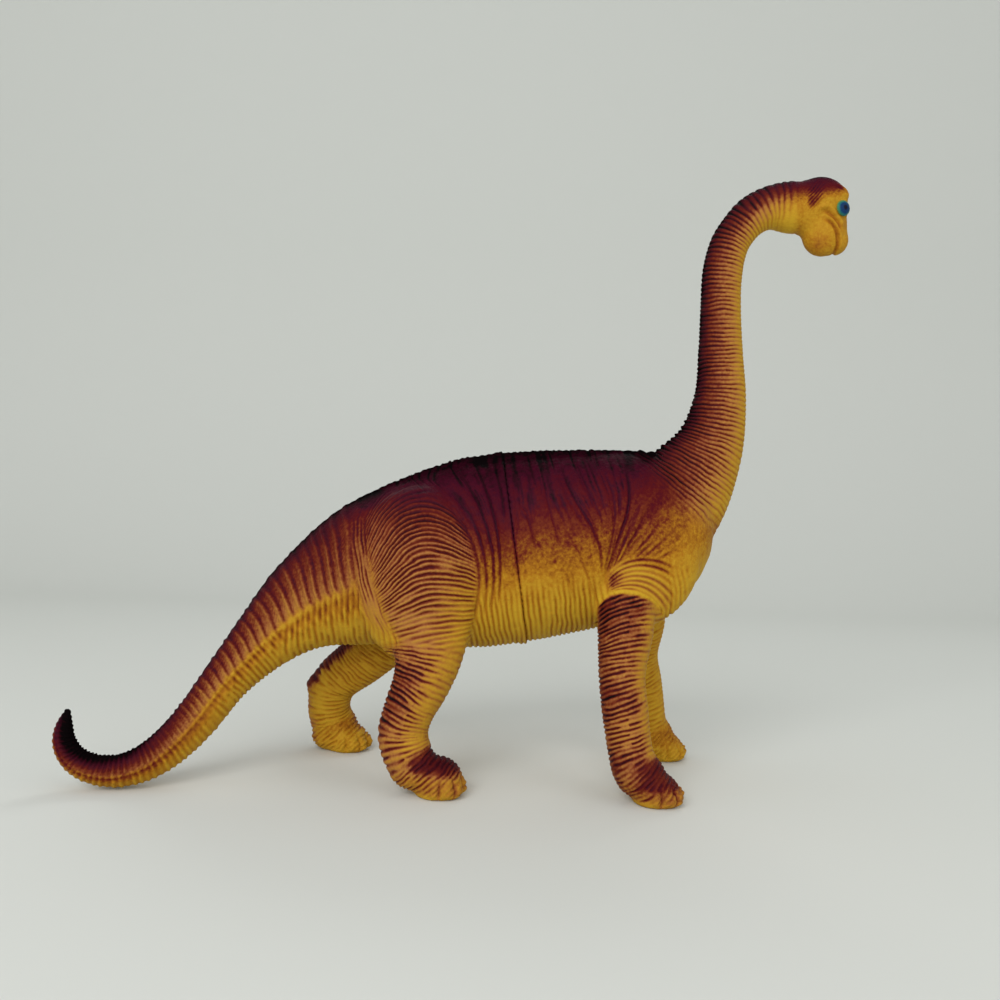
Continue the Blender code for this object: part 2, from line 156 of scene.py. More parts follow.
RIGHT_HIND_LEG = (
    (-12.8, -15.5, 62.9, 15.0, 9.4),
    (-11.5, -18.2, 50.7, 13.6, 8.9),
    (-10.8, -20.6, 42.1, 10.9, 8.7),
    (-12.6, -22.4, 33.4, 9.0, 8.4),
    (-16.2, -23.7, 24.8, 7.8, 7.8),
    (-17.8, -24.5, 17.4, 7.6, 7.6),
    (-15.8, -25.6, 11.4, 7.6, 7.8),
)
LEFT_HIND_LEG = (
    (-16.2, 15.1, 62.9, 15.0, 9.4),
    (-22.5, 18.0, 49.6, 12.9, 8.9),
    (-29.5, 20.4, 40.5, 10.6, 8.7),
    (-37.4, 22.1, 32.1, 8.9, 8.4),
    (-46.6, 23.7, 24.0, 7.9, 7.8),
    (-48.6, 24.8, 16.2, 7.3, 7.6),
    (-47.9, 26.5, 10.0, 7.4, 7.8),
)
LEGS = (RIGHT_FORELEG, LEFT_FORELEG, RIGHT_HIND_LEG, LEFT_HIND_LEG)
PAD_AHEAD = (6.5, 5.7, 9.3, 6.0)  # from the ankle to the middle of the toe pad
print("limbs:", 2 + len(LEGS), "rows:", len(BODY) + len(NECK) + sum(len(leg) for leg in LEGS))

# %% A smooth curve through the rows


def smooth_row(rows, at):
    """The row at a place between the given rows, on a smooth curve through all of them."""
    rows = np.asarray(rows, float)
    steps = np.linalg.norm(np.diff(rows[:, :3], axis=0), axis=1)
    knots = np.concatenate([[0.0], np.cumsum(steps)])
    slopes = np.empty_like(rows)
    slopes[1:-1] = (rows[2:] - rows[:-2]) / (knots[2:] - knots[:-2])[:, None]
    slopes[0] = (rows[1] - rows[0]) / steps[0]
    slopes[-1] = (rows[-1] - rows[-2]) / steps[-1]
    first = min(int(at), len(rows) - 2)
    t = at - first
    span = steps[first]
    return (
        (2 * t**3 - 3 * t**2 + 1) * rows[first]
        + (t**3 - 2 * t**2 + t) * span * slopes[first]
        + (3 * t**2 - 2 * t**3) * rows[first + 1]
        + (t**3 - t**2) * span * slopes[first + 1]
    )


def sections(rows, steps):
    """Centres, directions, sides, ups and half sizes of sections along a limb."""
    dense = np.array([smooth_row(rows, i / steps) for i in range((len(rows) - 1) * steps + 1)])
    centre = dense[:, :3]
    ahead = np.gradient(centre, axis=0)
    ahead /= np.linalg.norm(ahead, axis=1)[:, None]
    side = np.array([0.0, 1.0, 0.0]) - ahead * ahead[:, 1:2]
    side /= np.linalg.norm(side, axis=1)[:, None]
    return centre, ahead, side, np.cross(ahead, side), dense[:, 3], dense[:, 4]


# %% [markdown]
# ## Plain forms
#
# A limb starts as a disc. The disc is extruded again and again, and each new ring is laid on the
# next section, as one would drag, turn and scale it by hand. Heads, haunches, pads and toes are
# spheres stretched to size. The forms overlap freely, because they are melted together later.

# %% Limbs by extruding a disc
RING_SIDES = 40
RING_STEPS = 5
DOME_RINGS = 3


def lay_ring(thing, centre, side, up, depth, width):
    """Puts the corners of the selected face on an oval section."""
    face = next(f for f in bmesh.from_edit_mesh(thing.data).faces if f.select)
    for k, vert in enumerate(face.verts):
        angle = 2 * math.pi * k / RING_SIDES
        place = centre + up * (depth * math.sin(angle)) + side * (width * math.cos(angle))
        vert.co = Vector(place) * MM


def limb(name, rows, domes):
    """One closed limb through the rows; domes says which ends are rounded, the first (-1) or the last (1)."""
    centre, ahead, side, up, depth, width = sections(rows, RING_STEPS)
    rings = list(zip(centre, side, up, depth, width))
    for end in domes:
        i = -1 if end > 0 else 0
        radius = min(depth[i], width[i])
        for step in range(1, DOME_RINGS + 1):
            angle = math.pi / 2 * step / (DOME_RINGS + 1)
            moved = centre[i] + ahead[i] * (end * radius * math.sin(angle))
            shrink = math.cos(angle)
            made = (moved, side[i], up[i], depth[i] * shrink, width[i] * shrink)
            rings.insert(len(rings) if end > 0 else 0, made)
    deselect()
    bpy.ops.mesh.primitive_circle_add(vertices=RING_SIDES, radius=MM, fill_type="NGON")
    thing = bpy.context.object
    thing.name = name
    bpy.ops.object.mode_set(mode="EDIT")
    for i, ring in enumerate(rings):
        if i:
            bpy.ops.mesh.extrude_region()
        lay_ring(thing, *ring)
    bpy.ops.mesh.select_all(action="SELECT")
    bpy.ops.mesh.normals_make_consistent(inside=False)
    bpy.ops.object.mode_set(mode="OBJECT")
    return thing


forms = [
    limb("body_form", BODY, (-1,)),
    limb("neck_form", NECK, (1,)),
    *(limb("leg_form", leg, (-1, 1)) for leg in LEGS),
]
print("limb faces:", sum(len(form.data.polygons) for form in forms))

# %% Round forms: centre and half sizes in mm, and a pitch in degrees for the brows
MIDDLE = -0.2  # the toy's own middle plane, off the box's middle because of the tail
SKULL = (106.3, MIDDLE, 188.6)
TOES = ((4.4, -5.3), (5.7, 0.0), (4.4, 5.3))  # ahead of the pad's middle and across it


def ball(centre, half_sizes, pitch=0.0):
    """A stretched sphere."""
    deselect()
    bpy.ops.mesh.primitive_uv_sphere_add(
        segments=40,
        ring_count=20,
        radius=MM,
        location=Vector(centre) * MM,
        rotation=(0.0, math.radians(pitch), 0.0),
        scale=half_sizes,
    )
    return bpy.context.object


def from_skull(ahead, out, up):
    """A place counted from the middle of the skull."""
    return (SKULL[0] + ahead, SKULL[1] + out, SKULL[2] + up)


for sign in (-1, 1):
    forms.append(ball((53.2, MIDDLE + sign * 12.6, 74.9), (20.7, 12.0, 24.1)))  # shoulder
forms.append(ball((-14.5, MIDDLE - 13.4, 65.6), (22.1, 15.0, 28.1)))  # right haunch
forms.append(ball((-17.5, MIDDLE + 13.4, 64.2), (21.7, 15.0, 27.4)))  # left haunch
for leg, pad in zip(LEGS, PAD_AHEAD):
    x, y, _ = leg[-1][:3]
    forms.append(ball((x + 1.8, y, 8.2), (7.8, 8.0, 7.1)))  # ankle
    tall = leg is RIGHT_HIND_LEG
    forms.append(ball((x + pad, y, 4.0 if tall else 3.2), (7.8, 8.7, 7.7) if tall else (7.6, 8.8, 6.2)))
    for ahead, across in TOES:
        forms.append(ball((x + pad + ahead, y + across, 2.6), (2.7, 2.7, 2.7)))
forms.append(ball((-50.8, 23.9, 22.9), (5.8, 6.6, 4.4)))  # heel of the left hind leg
forms.append(ball((-48.2, 26.4, 4.6), (6.6, 7.2, 5.0)))  # its sole
forms.append(ball(from_skull(5.6, 0.0, 2.3), (8.7, 7.1, 7.7)))  # crown
forms.append(ball(from_skull(8.4, 0.0, -5.8), (6.2, 6.2, 9.4)))  # muzzle
forms.append(ball(from_skull(11.0, 0.0, -10.4), (4.3, 4.7, 4.9)))  # lips
forms.append(ball(from_skull(6.6, 0.0, -9.0), (6.6, 5.3, 6.8)))  # jaw
forms.append(ball(from_skull(3.6, 0.0, -5.2), (5.6, 5.4, 5.0)))  # back of the jaw
for sign in (-1, 1):
    forms.append(ball(from_skull(10.4, sign * 4.5, 4.5), (3.7, 2.3, 1.7), 30.0))  # brow
    forms.append(ball(from_skull(11.1, sign * 4.5, -1.5), (2.8, 2.8, 2.9)))  # eyeball under the paint
print("forms:", len(forms))

# %% [markdown]
# ## One smooth body
#
# The voxel remesh melts the overlapping forms into a single closed skin of even squares. A
# smoothing pass softens the creases where limbs meet, as a thumb does in clay, and a subdivision
# then halves the squares, so that they are fine enough to carry the ribs. Bisect cuts the soles
# flat where the toy stands.

# %% Melt, smooth and subdivide
SKIN_VOXEL = 0.70
SMOOTHING_ROUNDS = 20
pick(*forms)
bpy.ops.object.transform_apply(location=True, rotation=True, scale=True)
bpy.ops.object.join()
skin = bpy.context.object
skin.name = "skin"
melt = skin.modifiers.new("Melt", "REMESH")
melt.mode = "VOXEL"
melt.voxel_size = SKIN_VOXEL * MM
relax = skin.modifiers.new("Relax", "SMOOTH")
relax.factor = 0.5
relax.iterations = SMOOTHING_ROUNDS
apply_all(skin)
pick(skin)
bpy.ops.object.mode_set(mode="EDIT")
bpy.ops.mesh.select_all(action="SELECT")
bpy.ops.mesh.bisect(plane_co=(0.0, 0.0, 0.0), plane_no=(0.0, 0.0, 1.0), clear_inner=True, use_fill=True)
bpy.ops.object.mode_set(mode="OBJECT")
fine = skin.modifiers.new("Finer squares", "SUBSURF")
fine.levels = fine.render_levels = 1
apply_all(skin)
print("skin faces:", len(skin.data.polygons))

# %% [markdown]
# ## Where a point lies
#
# Ribs run round the neck and the legs, so the relief needs each point's place on its limb: how
# far along, how far up and across its section, and how far out. The nearest section gives all
# four. Irregular swells come from smooth random numbers, which are the same on every run.

# %% Helpers for places and random swells
# Large odd numbers scramble a corner's place and the seed into one random number.
CORNER_FACTORS = np.array([73856093, 19349663, 83492791])
SEED_FACTOR, MIXING_FACTOR, KEPT_BITS = 668265263, 1274126177, 0xFFFF
PLACE_STEPS = 12  # sections between two rows of a limb
BATCH = 8000  # points measured at a time, which keeps the memory small


def ease(low, high, value):
    """0 up to the first value and 1 from the second, soft between; the first may be the larger."""
    t = np.clip((value - low) / (high - low), 0.0, 1.0)
    return t * t * (3 - 2 * t)


def noise(places, size=1.0, seed=0):
    """Smooth random numbers from -1 to 1; size is the length of one swell."""
    scaled = places / np.asarray(size, float)
    cell = np.floor(scaled).astype(np.int64)
    t = scaled - cell
    t = t * t * (3 - 2 * t)
    total = np.zeros(len(places))
    for corner in range(8):
        step = np.array([(corner >> axis) & 1 for axis in range(3)])
        key = (cell + step) @ CORNER_FACTORS + seed * SEED_FACTOR
        key = (key ^ (key >> 13)) * MIXING_FACTOR
        key = (key ^ (key >> 16)) & KEPT_BITS
        total += np.prod(np.where(step, t, 1 - t), axis=1) * (2 * key / KEPT_BITS - 1.0)
    return total


class Places:
    """The place of each point on a limb: along and girth in mm, up, across and out in half sizes."""

    def __init__(self, points, rows):
        centre, ahead, side, up, depth, width = sections(rows, PLACE_STEPS)
        length = np.concatenate([[0.0], np.cumsum(np.linalg.norm(np.diff(centre, axis=0), axis=1))])
        near = np.empty(len(points), int)
        for start in range(0, len(points), BATCH):
            part = points[start : start + BATCH]
            near[start : start + BATCH] = np.argmin((centre**2).sum(1) - 2 * part @ centre.T, axis=1)

        def lead(index):
            return ((points - centre[index]) * ahead[index]).sum(1)

        here = lead(near)
        other = np.clip(near + np.sign(here).astype(int), 0, len(centre) - 1)
        gap = here - lead(other)
        inside_row = (other != near) & (np.abs(gap) > 1e-9)
        share = np.clip(np.where(inside_row, here / np.where(inside_row, gap, 1.0), 0.0), 0.0, 1.0)

        def between(values):
            mix = share if values.ndim == 1 else share[:, None]
            return values[near] * (1 - mix) + values[other] * mix

        off = points - between(centre)
        deep, wide = between(depth), between(width)
        self.along = between(length) + np.where(inside_row, 0.0, here)
        self.up = (off * between(up)).sum(1) / deep
        self.across = (off * between(side)).sum(1) / wide
        self.out = np.hypot(self.up, self.across)
        self.girth = (deep + wide) / 2 * np.arctan2(self.up, self.across)
        self.length = length[-1]


def read_points(thing):
    """The points of a mesh in mm, and the way that each one faces."""
    flat = np.empty(3 * len(thing.data.vertices), np.float32)
    thing.data.vertices.foreach_get("co", flat)
    turned = np.empty_like(flat)
    thing.data.vertex_normals.foreach_get("vector", turned)
    return flat.reshape(-1, 3).astype(float) / MM, turned.reshape(-1, 3).astype(float)


def write_points(thing, points):
    """Moves the points of a mesh to these places in mm."""
    thing.data.vertices.foreach_set("co", (points * MM).astype(np.float32).ravel())
    thing.data.update()


# %% Places of every point of the skin
points, normals = read_points(skin)
x, y, z = points.T
on_body, on_neck = Places(points, BODY), Places(points, NECK)
on_legs = []
for leg, pad in zip(LEGS, PAD_AHEAD):
    foot_x, foot_y, foot_z = leg[-1][:3]
    instep = (foot_x + 0.45 * pad, foot_y, foot_z - 4.2, 7.0, 7.8)
    toe_tips = (foot_x + pad + 5.0, foot_y, foot_z - 6.6, 6.0, 7.8)
    on_legs.append(Places(points, (*leg, instep, toe_tips)))
print("points:", len(points), "body length:", round(on_body.length), "neck length:", round(on_neck.length))

# %% [markdown]
# ## Regions
#
# Every region of the skin has its own pattern. A region is a soft mask from 0 to 1, so that one
# pattern fades into the next as it does in a moulding.

# %% Masks of the regions
def row_at(rows, level):
    """The value at this level in a table of rows of (level, value)."""
    levels, places = np.array(rows).T
    return np.interp(level, levels, places)


head = ease(101.5, 106.5, x) * ease(160, 168, z)
neck = ease(1.5, 1.16, on_neck.out) * ease(3, 16, on_neck.along) * ease(76, 90, z) * (1 - head)
tail = ease(-26, -36, x + 0.25 * (z - 60))

# The yellow lip over each foreleg, as height by place ahead; the far leg stands further ahead.
LIP_LINE = (
    (38.0, 54.0), (42.3, 59.8), (44.2, 61.6), (47.2, 62.4), (52.4, 62.0),
    (57.0, 60.2), (59.6, 58.0), (62.0, 55.0), (66.0, 48.0),
)
FAR_FORELEG_AHEAD = 7.5
far = y > MIDDLE
sides = ease(8, 12, np.abs(y - MIDDLE))
fore_x = x - np.where(far, FAR_FORELEG_AHEAD, 0.0)
above_lip = z - row_at(LIP_LINE, fore_x)
HIND_TOPS = ((17.0, 24.0), (15.0, 23.0))  # where a shank's wrinkles take over, mm along the leg
legs = []
for number, place in enumerate(on_legs):
    if number < 2:
        start_here = ease(0.5, -0.7, above_lip) * ease(10, 12, place.along)
        start_here *= ease(40.2, 41.8, fore_x + 4 * ease(52, 46, z))
    else:
        start_here = ease(*HIND_TOPS[number - 2], place.along)
    legs.append(ease(1.6, 1.3, place.out) * start_here)
outside = [-on_legs[0].across, on_legs[1].across, -on_legs[2].across, on_legs[3].across]

# The front and rear edges of the thigh, as place ahead by height.
THIGH_FRONT = (
    (20.0, 0.0), (45.4, 2.0), (54.5, 3.2), (65.5, 3.9), (76.5, 1.6),
    (81.4, -1.1), (86.8, -5.3), (92.2, -11.5), (96.0, -17.6), (99, -23),
)
THIGH_REAR = (
    (20.0, -16.0), (44.8, -20.1), (49.2, -22.7), (53.6, -25.4), (63.6, -28.7),
    (75.6, -31.5), (82.1, -32.5), (87.3, -31), (96, -27), (99, -26),
)
lean = np.where(far, np.interp(z, (40, 49.6, 63, 90), (-18, -11, -3.4, 0)), 0.0)
thigh_x = x - lean  # the far thigh leans back, so its pattern does too
inset_front = row_at(THIGH_FRONT, z) - thigh_x
inset_rear = thigh_x - row_at(THIGH_REAR, z)
on_flank = ease(7, 11, np.abs(y - MIDDLE))
thigh = ease(-0.6, 1.6, inset_front) * ease(-1.5, 3.0, inset_rear) * on_flank
thigh *= ease(38, 45, z)
named = {"head": head, "neck": neck, "thigh": thigh, "tail": tail, "legs": sum(legs)}
for name, mask in named.items():
    print(name, "holds", int((mask > 0.5).sum()), "points")

# %% [markdown]
# ## Ribs and folds
#
# A groove is a narrow valley between two round ribs. The cosine of a running number makes one
# groove per whole step, and a power makes the valley narrow. Real ribs break off and start again,
# so each groove also fades in and out along its length. The long folds that give
# the toy its look are drawn as lines on its side.

# %% Grooves
def stripes(phase, narrow=2.0):
    """1 in the middle of each groove and 0 between grooves."""
    return (0.5 + 0.5 * np.cos(2 * np.pi * phase)) ** narrow


def broken(phase, along, swell, seed, least=0.3):
    """How deep each groove is along its own length."""
    lane = np.column_stack([2 * np.round(phase), along / swell, np.zeros(len(phase))])
    return least + (1 - least) * ease(-0.75, 0.25, noise(lane, 1.0, seed))


def line_groove(line, width):
    """1 on a given line on the side, fading to 0 at this half width and at the line's ends."""
    line = np.array(line, float)
    reach = width + 0.5
    flat = points[:, (0, 2)]
    inside = (flat > line.min(0) - reach) & (flat < line.max(0) + reach)
    chosen = np.flatnonzero(inside.all(1))
    px, pz = x[chosen], z[chosen]
    near, where = np.full(len(chosen), 1e9), np.zeros(len(chosen))
    run = 0.0
    lengths = np.linalg.norm(np.diff(line, axis=0), axis=1)
    for (x0, z0), (x1, z1), length in zip(line[:-1], line[1:], lengths):
        t = np.clip(((px - x0) * (x1 - x0) + (pz - z0) * (z1 - z0)) / length**2, 0, 1)
        away = np.hypot(px - x0 - t * (x1 - x0), pz - z0 - t * (z1 - z0))
        closer = away < near
        near[closer], where[closer] = away[closer], run + t[closer] * length
        run += length
    ends = ease(0, 0.25, where / run) * ease(1, 0.85, where / run)
    value = np.zeros(len(points))
    value[chosen] = ease(width, 0, near) * np.maximum(ends, 0.15)
    return value


relief = np.zeros(len(points))  # mm outwards
# The groove value darkens the paint in the grooves: partly paint pooled there, partly painted shade.
groove_paint_and_shade = np.zeros(len(points))  # 0 on ribs to 1 in grooves, for the paint


def lay(mask, lift, valley):
    """Lays a pattern over what is there, where its mask is 1."""
    global relief, groove_paint_and_shade
    relief = relief * (1 - mask) + lift * mask
    groove_paint_and_shade = groove_paint_and_shade * (1 - mask) + valley * mask


# %% Long folds drawn on the side of the toy, as place ahead and height
FOLD_A = ((17.9, 105.1), (18.8, 100.8), (20.2, 96.2), (20.8, 93.7))
FOLD_B = ((15.1, 90.0), (18.0, 86.5), (19.7, 79.9), (21.1, 75.3))
FOLD_C = (
    (27.6, 105.1), (28.8, 100.6), (30.4, 95.5), (33.2, 90.0),
    (37.4, 83.5), (40.5, 76.4), (41.4, 70.3), (41.6, 65.7),
)
FOLD_D = ((32.8, 103.2), (35.0, 97.7), (37.7, 92.2), (39.1, 89.1))
FOLD_E = (
    (40.4, 103.0), (42.6, 97.9), (44.6, 92.4), (45.0, 86.3),
    (44.4, 80.6), (43.3, 74.5), (42.5, 69.3), (42.0, 65.2),
)
FOLD_F = (
    (47.2, 106.2), (48.6, 101.7), (49.4, 96.1), (49.4, 91.5), (48.6, 86.4),
    (46.7, 80.7), (44.8, 74.5), (43.0, 68.3), (42.1, 64.7),
)
FOLD_G = ((51.6, 86.5), (49.2, 81.8), (46.8, 76.6), (44.0, 69.9), (42.3, 65.3))
FOLD_H = ((54.3, 81.9), (50.9, 77.8), (46.9, 72.5), (43.5, 67.3))
FOLD_I = ((58.0, 79.0), (53.0, 75.3), (48.0, 70.5), (43.6, 65.8))
HIP_1 = (
    (-17.6, 96.0), (-11.5, 92.2), (-5.3, 86.8), (-1.1, 81.4), (1.6, 76.5),
    (3.4, 70.5), (4.1, 65.5), (3.9, 59.5), (3.3, 54.5), (2.9, 49.4),
)
HIP_2 = (
    (-9.4, 94.7), (-4.3, 90.4), (0.6, 85.0), (3.6, 78.5),
    (5.6, 71.6), (6.4, 64.6), (6.2, 57.0), (5.4, 51.5),
)
HIP_3 = (
    (-5.6, 99.8), (-0.9, 94.9), (2.9, 88.9), (6.0, 81.1),
    (8.0, 73.6), (8.6, 65.6), (8.2, 59.6), (7.8, 52.0),
)
HIP_4 = (
    (0.9, 101.5), (3.4, 96.6), (6.2, 90.6), (8.4, 83.1),
    (9.7, 76.7), (10.4, 69.7), (10.4, 62.2), (10.2, 54.6),
)
HIP_5 = ((6.9, 103.7), (8.5, 97.7), (10.2, 91.2), (11.4, 83.2))
RUMP = (
    (-24.9, 89.3), (-29.7, 83.1), (-31.6, 75.6), (-31.0, 68.6),
    (-29.7, 63.6), (-27.6, 58.6), (-25.4, 53.6), (-22.7, 49.2),
)
FOLDS = (  # depth, half width, line
    (0.30, 0.7, FOLD_A), (0.26, 0.7, FOLD_B), (0.42, 0.8, FOLD_C),
    (0.24, 0.6, FOLD_D), (0.34, 0.7, FOLD_E), (0.48, 0.9, FOLD_F),
    (0.26, 0.7, FOLD_G), (0.26, 0.7, FOLD_H), (0.26, 0.7, FOLD_I),
    (0.24, 0.7, ((32.1, 75.7), (35.4, 71.2), (38.0, 65.6), (39.8, 60.6), (40.3, 54.5))),
    (0.22, 0.7, ((29.2, 70.9), (31.9, 64.4), (34.1, 57.9), (35.0, 52.8))),
    (0.22, 0.6, ((23.0, 98.4), (23.9, 91.8), (25.4, 85.7), (27.1, 80.1), (28.3, 75.0))),
    (0.20, 0.6, ((29.4, 82.2), (33.1, 76.2), (35.7, 71.2))),
    (0.45, 0.9, HIP_1[2:]), (0.46, 0.8, HIP_2), (0.50, 0.8, HIP_3),
    (0.44, 0.7, HIP_4), (0.38, 0.7, HIP_5), (0.30, 0.9, RUMP),
)

# %% Trunk: a running number that follows the long folds
NUMBERED = (  # the same folds as levels of one running number, from the tail side forward
    (-4.0, ((-27.0, 106), (-24.5, 92), (-30.5, 78), (-29.5, 64), (-22.0, 48))),
    (0.0, HIP_1), (1.0, HIP_2), (2.0, HIP_3), (3.0, HIP_4),
    (3.6, ((12.0, 105.2), (13.6, 90.4), (15.0, 75.2), (16.5, 57.3), (17.8, 47.7))),
    (4.6, ((17.9, 105.1), (19.8, 97.0), (21.4, 88.0), (23.0, 79.0), (26.0, 67.0), (27.0, 50.0))),
    (6.0, FOLD_C), (8.0, FOLD_E), (9.0, FOLD_F),
    (9.8, ((62.0, 106.0), (53.5, 90.0), *FOLD_G[1:])),
    (10.4, ((74.0, 100.0), *FOLD_H)), (11.0, ((82.0, 92.0), *FOLD_I)),
)
TABLE_STEP = 0.5
levels_z = np.arange(40.0, 110.0, TABLE_STEP)
levels_x = np.arange(-40.0, 90.0, TABLE_STEP)
falling = [(number, np.array(sorted((b, a) for a, b in line)).T) for number, line in NUMBERED]
table = []
for height in levels_z:
    crossings = sorted((np.interp(height, *line), number) for number, line in falling)
    at = np.array([c[0] for c in crossings]) + 0.02 * np.arange(len(crossings))
    numbers = np.sort([c[1] for c in crossings])
    table.append(np.interp(levels_x, np.maximum.accumulate(at), numbers))
table = np.array(table)
gx = np.clip((x - levels_x[0]) / TABLE_STEP, 0, len(levels_x) - 1.001)
gz = np.clip((z - levels_z[0]) / TABLE_STEP, 0, len(levels_z) - 1.001)
ix, iz = gx.astype(int), gz.astype(int)
tx, tz = gx - ix, gz - iz
lower = table[iz, ix] * (1 - tx) + table[iz, ix + 1] * tx
upper = table[iz + 1, ix] * (1 - tx) + table[iz + 1, ix + 1] * tx
drape = lower * (1 - tz) + upper * tz
print("folds drawn:", len(FOLDS), "running number from", drape.min().round(1), "to", drape.max().round(1))

# %% Trunk: grain, fine lines along the folds, belly ribs and the folds themselves
BELLY_PITCH = 1.65
swirl = noise(points, 9.0, 3)
pebbles = noise(points, 0.9, 11) * 0.6 + noise(points, 1.7, 12) * 0.4
streaks = noise(np.column_stack([drape * 8.0, z / 6.0, np.sign(y)]), 1.0, 5)
streaks += 0.6 * noise(np.column_stack([drape * 15.0, z / 6.0, np.sign(y)]), 1.0, 6)
streaky = ease(-0.30, 0.10, on_body.up) * (1 - ease(50, 62, x) * 0.7)
fine_lines = 0.44 * ease(0.10, 0.9, -streaks) * streaky * ease(78, 92, z)
lay(
    np.ones(len(points)),
    0.20 * streaks * streaky + 0.09 * pebbles,
    np.clip(fine_lines + 0.35 * ease(0.1, 0.8, -pebbles), 0, 1),
)
belly_phase = (x + 0.18 * (z - 55)) / BELLY_PITCH + 0.30 * swirl + 0.15 * noise(points, 3.5, 22)
belly_ribs = stripes(belly_phase, 1.6) * broken(belly_phase, z, 7.0, 21, 0.5)
belly = ease(-0.25, -0.60, on_body.up) * (1 - tail) * ease(72, 62, x)
# Painted shade: the dark in the belly's rib grooves stands for the shade in them.
lay(belly * 0.95, -0.55 * belly_ribs + 0.07 * pebbles, 0.62 * belly_ribs)
for depth, width, line in FOLDS:
    crease, slope = line_groove(line, width), line_groove(line, 3.2 * width)
    relief -= depth * crease + 0.45 * depth * slope
    groove_paint_and_shade = np.maximum(groove_paint_and_shade, 1.15 * depth * crease)
print("trunk relief from", round(relief.min(), 2), "to", round(relief.max(), 2), "mm")

# %% Armpit: creases that spread like a fan, and others that bend over the top of the foreleg
ARMPIT = (42.1, 63.0)
FAN_SPACING, ARCH_SPACING = 5.4, 8.5  # degrees between creases
BEND = 3.2  # degrees that a crease turns for each mm that it runs
away_x, away_z = fore_x - ARMPIT[0], z - ARMPIT[1]
reach = np.hypot(away_x, away_z)
spread = np.degrees(np.arctan2(away_x, away_z))
fan = ease(6, 16, spread) * ease(74, 60, spread) * ease(3, 8, reach) * ease(34, 14, reach) * sides
fan_phase = spread / FAN_SPACING + 0.30 * swirl
fan_ribs = stripes(fan_phase, 1.6) * broken(fan_phase, reach, 7.0, 31, 0.2)
relief -= 0.34 * fan * fan_ribs
groove_paint_and_shade = np.maximum(groove_paint_and_shade, 0.65 * fan * fan_ribs)
bent = np.degrees(np.arctan2(away_x, z - 61.0)) - BEND * np.hypot(away_x, z - 61.0)
arches = ease(-24, -8, bent) * ease(60, 52, bent) * ease(0.2, 1.0, above_lip)
arches = arches * ease(24, 19, reach) * ease(0.5, 3, away_x) * sides
arch_phase = bent / ARCH_SPACING + 0.15 * swirl
arch_ribs = stripes(arch_phase, 1.3) * broken(arch_phase, reach, 6.0, 32, 0.45)
lay(arches * 0.95, -0.36 * arch_ribs + 0.12, 0.75 * arch_ribs)
lip_band = np.exp(-(((above_lip - 0.5) / 0.9) ** 2))
lip_band = lip_band * ease(41.5, 43.5, fore_x) * ease(62, 58, fore_x) * sides
relief += 0.38 * lip_band
groove_paint_and_shade *= 1 - lip_band
print("armpit points:", int((fan > 0.5).sum()), "arch points:", int((arches > 0.5).sum()))

# %% Thigh: arched wrinkles, steeper at the top of the haunch, and upright creases behind it
BEHIND_PITCH = 1.30
middle = np.interp(z, (54, 70, 89), (-8.3, -9.8, -13.4))
left = np.interp(z, (46, 54, 62, 70, 90), (0.012, 0.024, 0.040, 0.045, 0.040))
right = np.interp(z, (50, 60, 70, 80, 92), (0.0, 0.010, 0.027, 0.048, 0.064))
tilt = np.interp(z, (46, 56, 66), (0.14, 0.07, 0.0))
off_middle = thigh_x - middle
arch_level = z + left * np.minimum(off_middle, 0) ** 2 + right * np.maximum(off_middle, 0) ** 2
arch_level = arch_level - tilt * off_middle
thigh_phase = np.interp(arch_level, (30, 60, 75, 105), (0.0, 17.6, 26.7, 46.7))
thigh_phase = thigh_phase + 0.24 * noise(points, (12, 12, 6), 41) + 0.20 * noise(points, (4, 4, 2), 42)
thigh_ribs = stripes(thigh_phase, 1.05) * broken(thigh_phase, thigh_x, 6.0, 43, 0.45)
top_fade = 1 - 0.60 * ease(80, 94, z)
lay(
    thigh * ease(98, 86, z),
    (-0.72 * thigh_ribs + 0.33 * ease(94, 82, z)) * top_fade + 0.06 * pebbles,
    thigh_ribs * np.interp(z, (46, 62, 78, 88), (0.78, 1.0, 0.90, 0.55)),
)
behind = ease(-7.5, -3.0, inset_rear) * ease(3.0, -0.5, inset_rear)
behind = behind * ease(44, 54, z) * ease(92, 74, z) * sides
behind_phase = inset_rear / BEHIND_PITCH + 0.3 * noise(points, (3, 3, 8), 44)
behind_ribs = stripes(behind_phase, 1.2) * broken(behind_phase, z, 5.0, 45, 0.2)
lay(0.9 * behind * (1 - thigh), -0.36 * behind_ribs + 0.08, 0.85 * behind_ribs)
print("thigh wrinkles from", round(thigh_phase.min()), "to", round(thigh_phase.max()))

# %% [markdown]
# The tail carries crisp ridges above a raised side line, small bumps under that line and fine ribs
# beneath. Rings could be extruded one by one, but real ridges lean, hook back at the side line and
# break off, so they are drawn as one wave along the tail, which bends near the line.

# %% Running numbers along a limb
def turns_along(along, length, places, pitches, count=2000):
    """How many grooves lie before a place, where their pitch changes along the limb."""
    steps = np.linspace(0, length, count)
    pitch = np.interp(steps, places, pitches)
    turns = np.concatenate([[0], np.cumsum(np.diff(steps) / pitch[1:])])
    return np.interp(along, steps, turns)


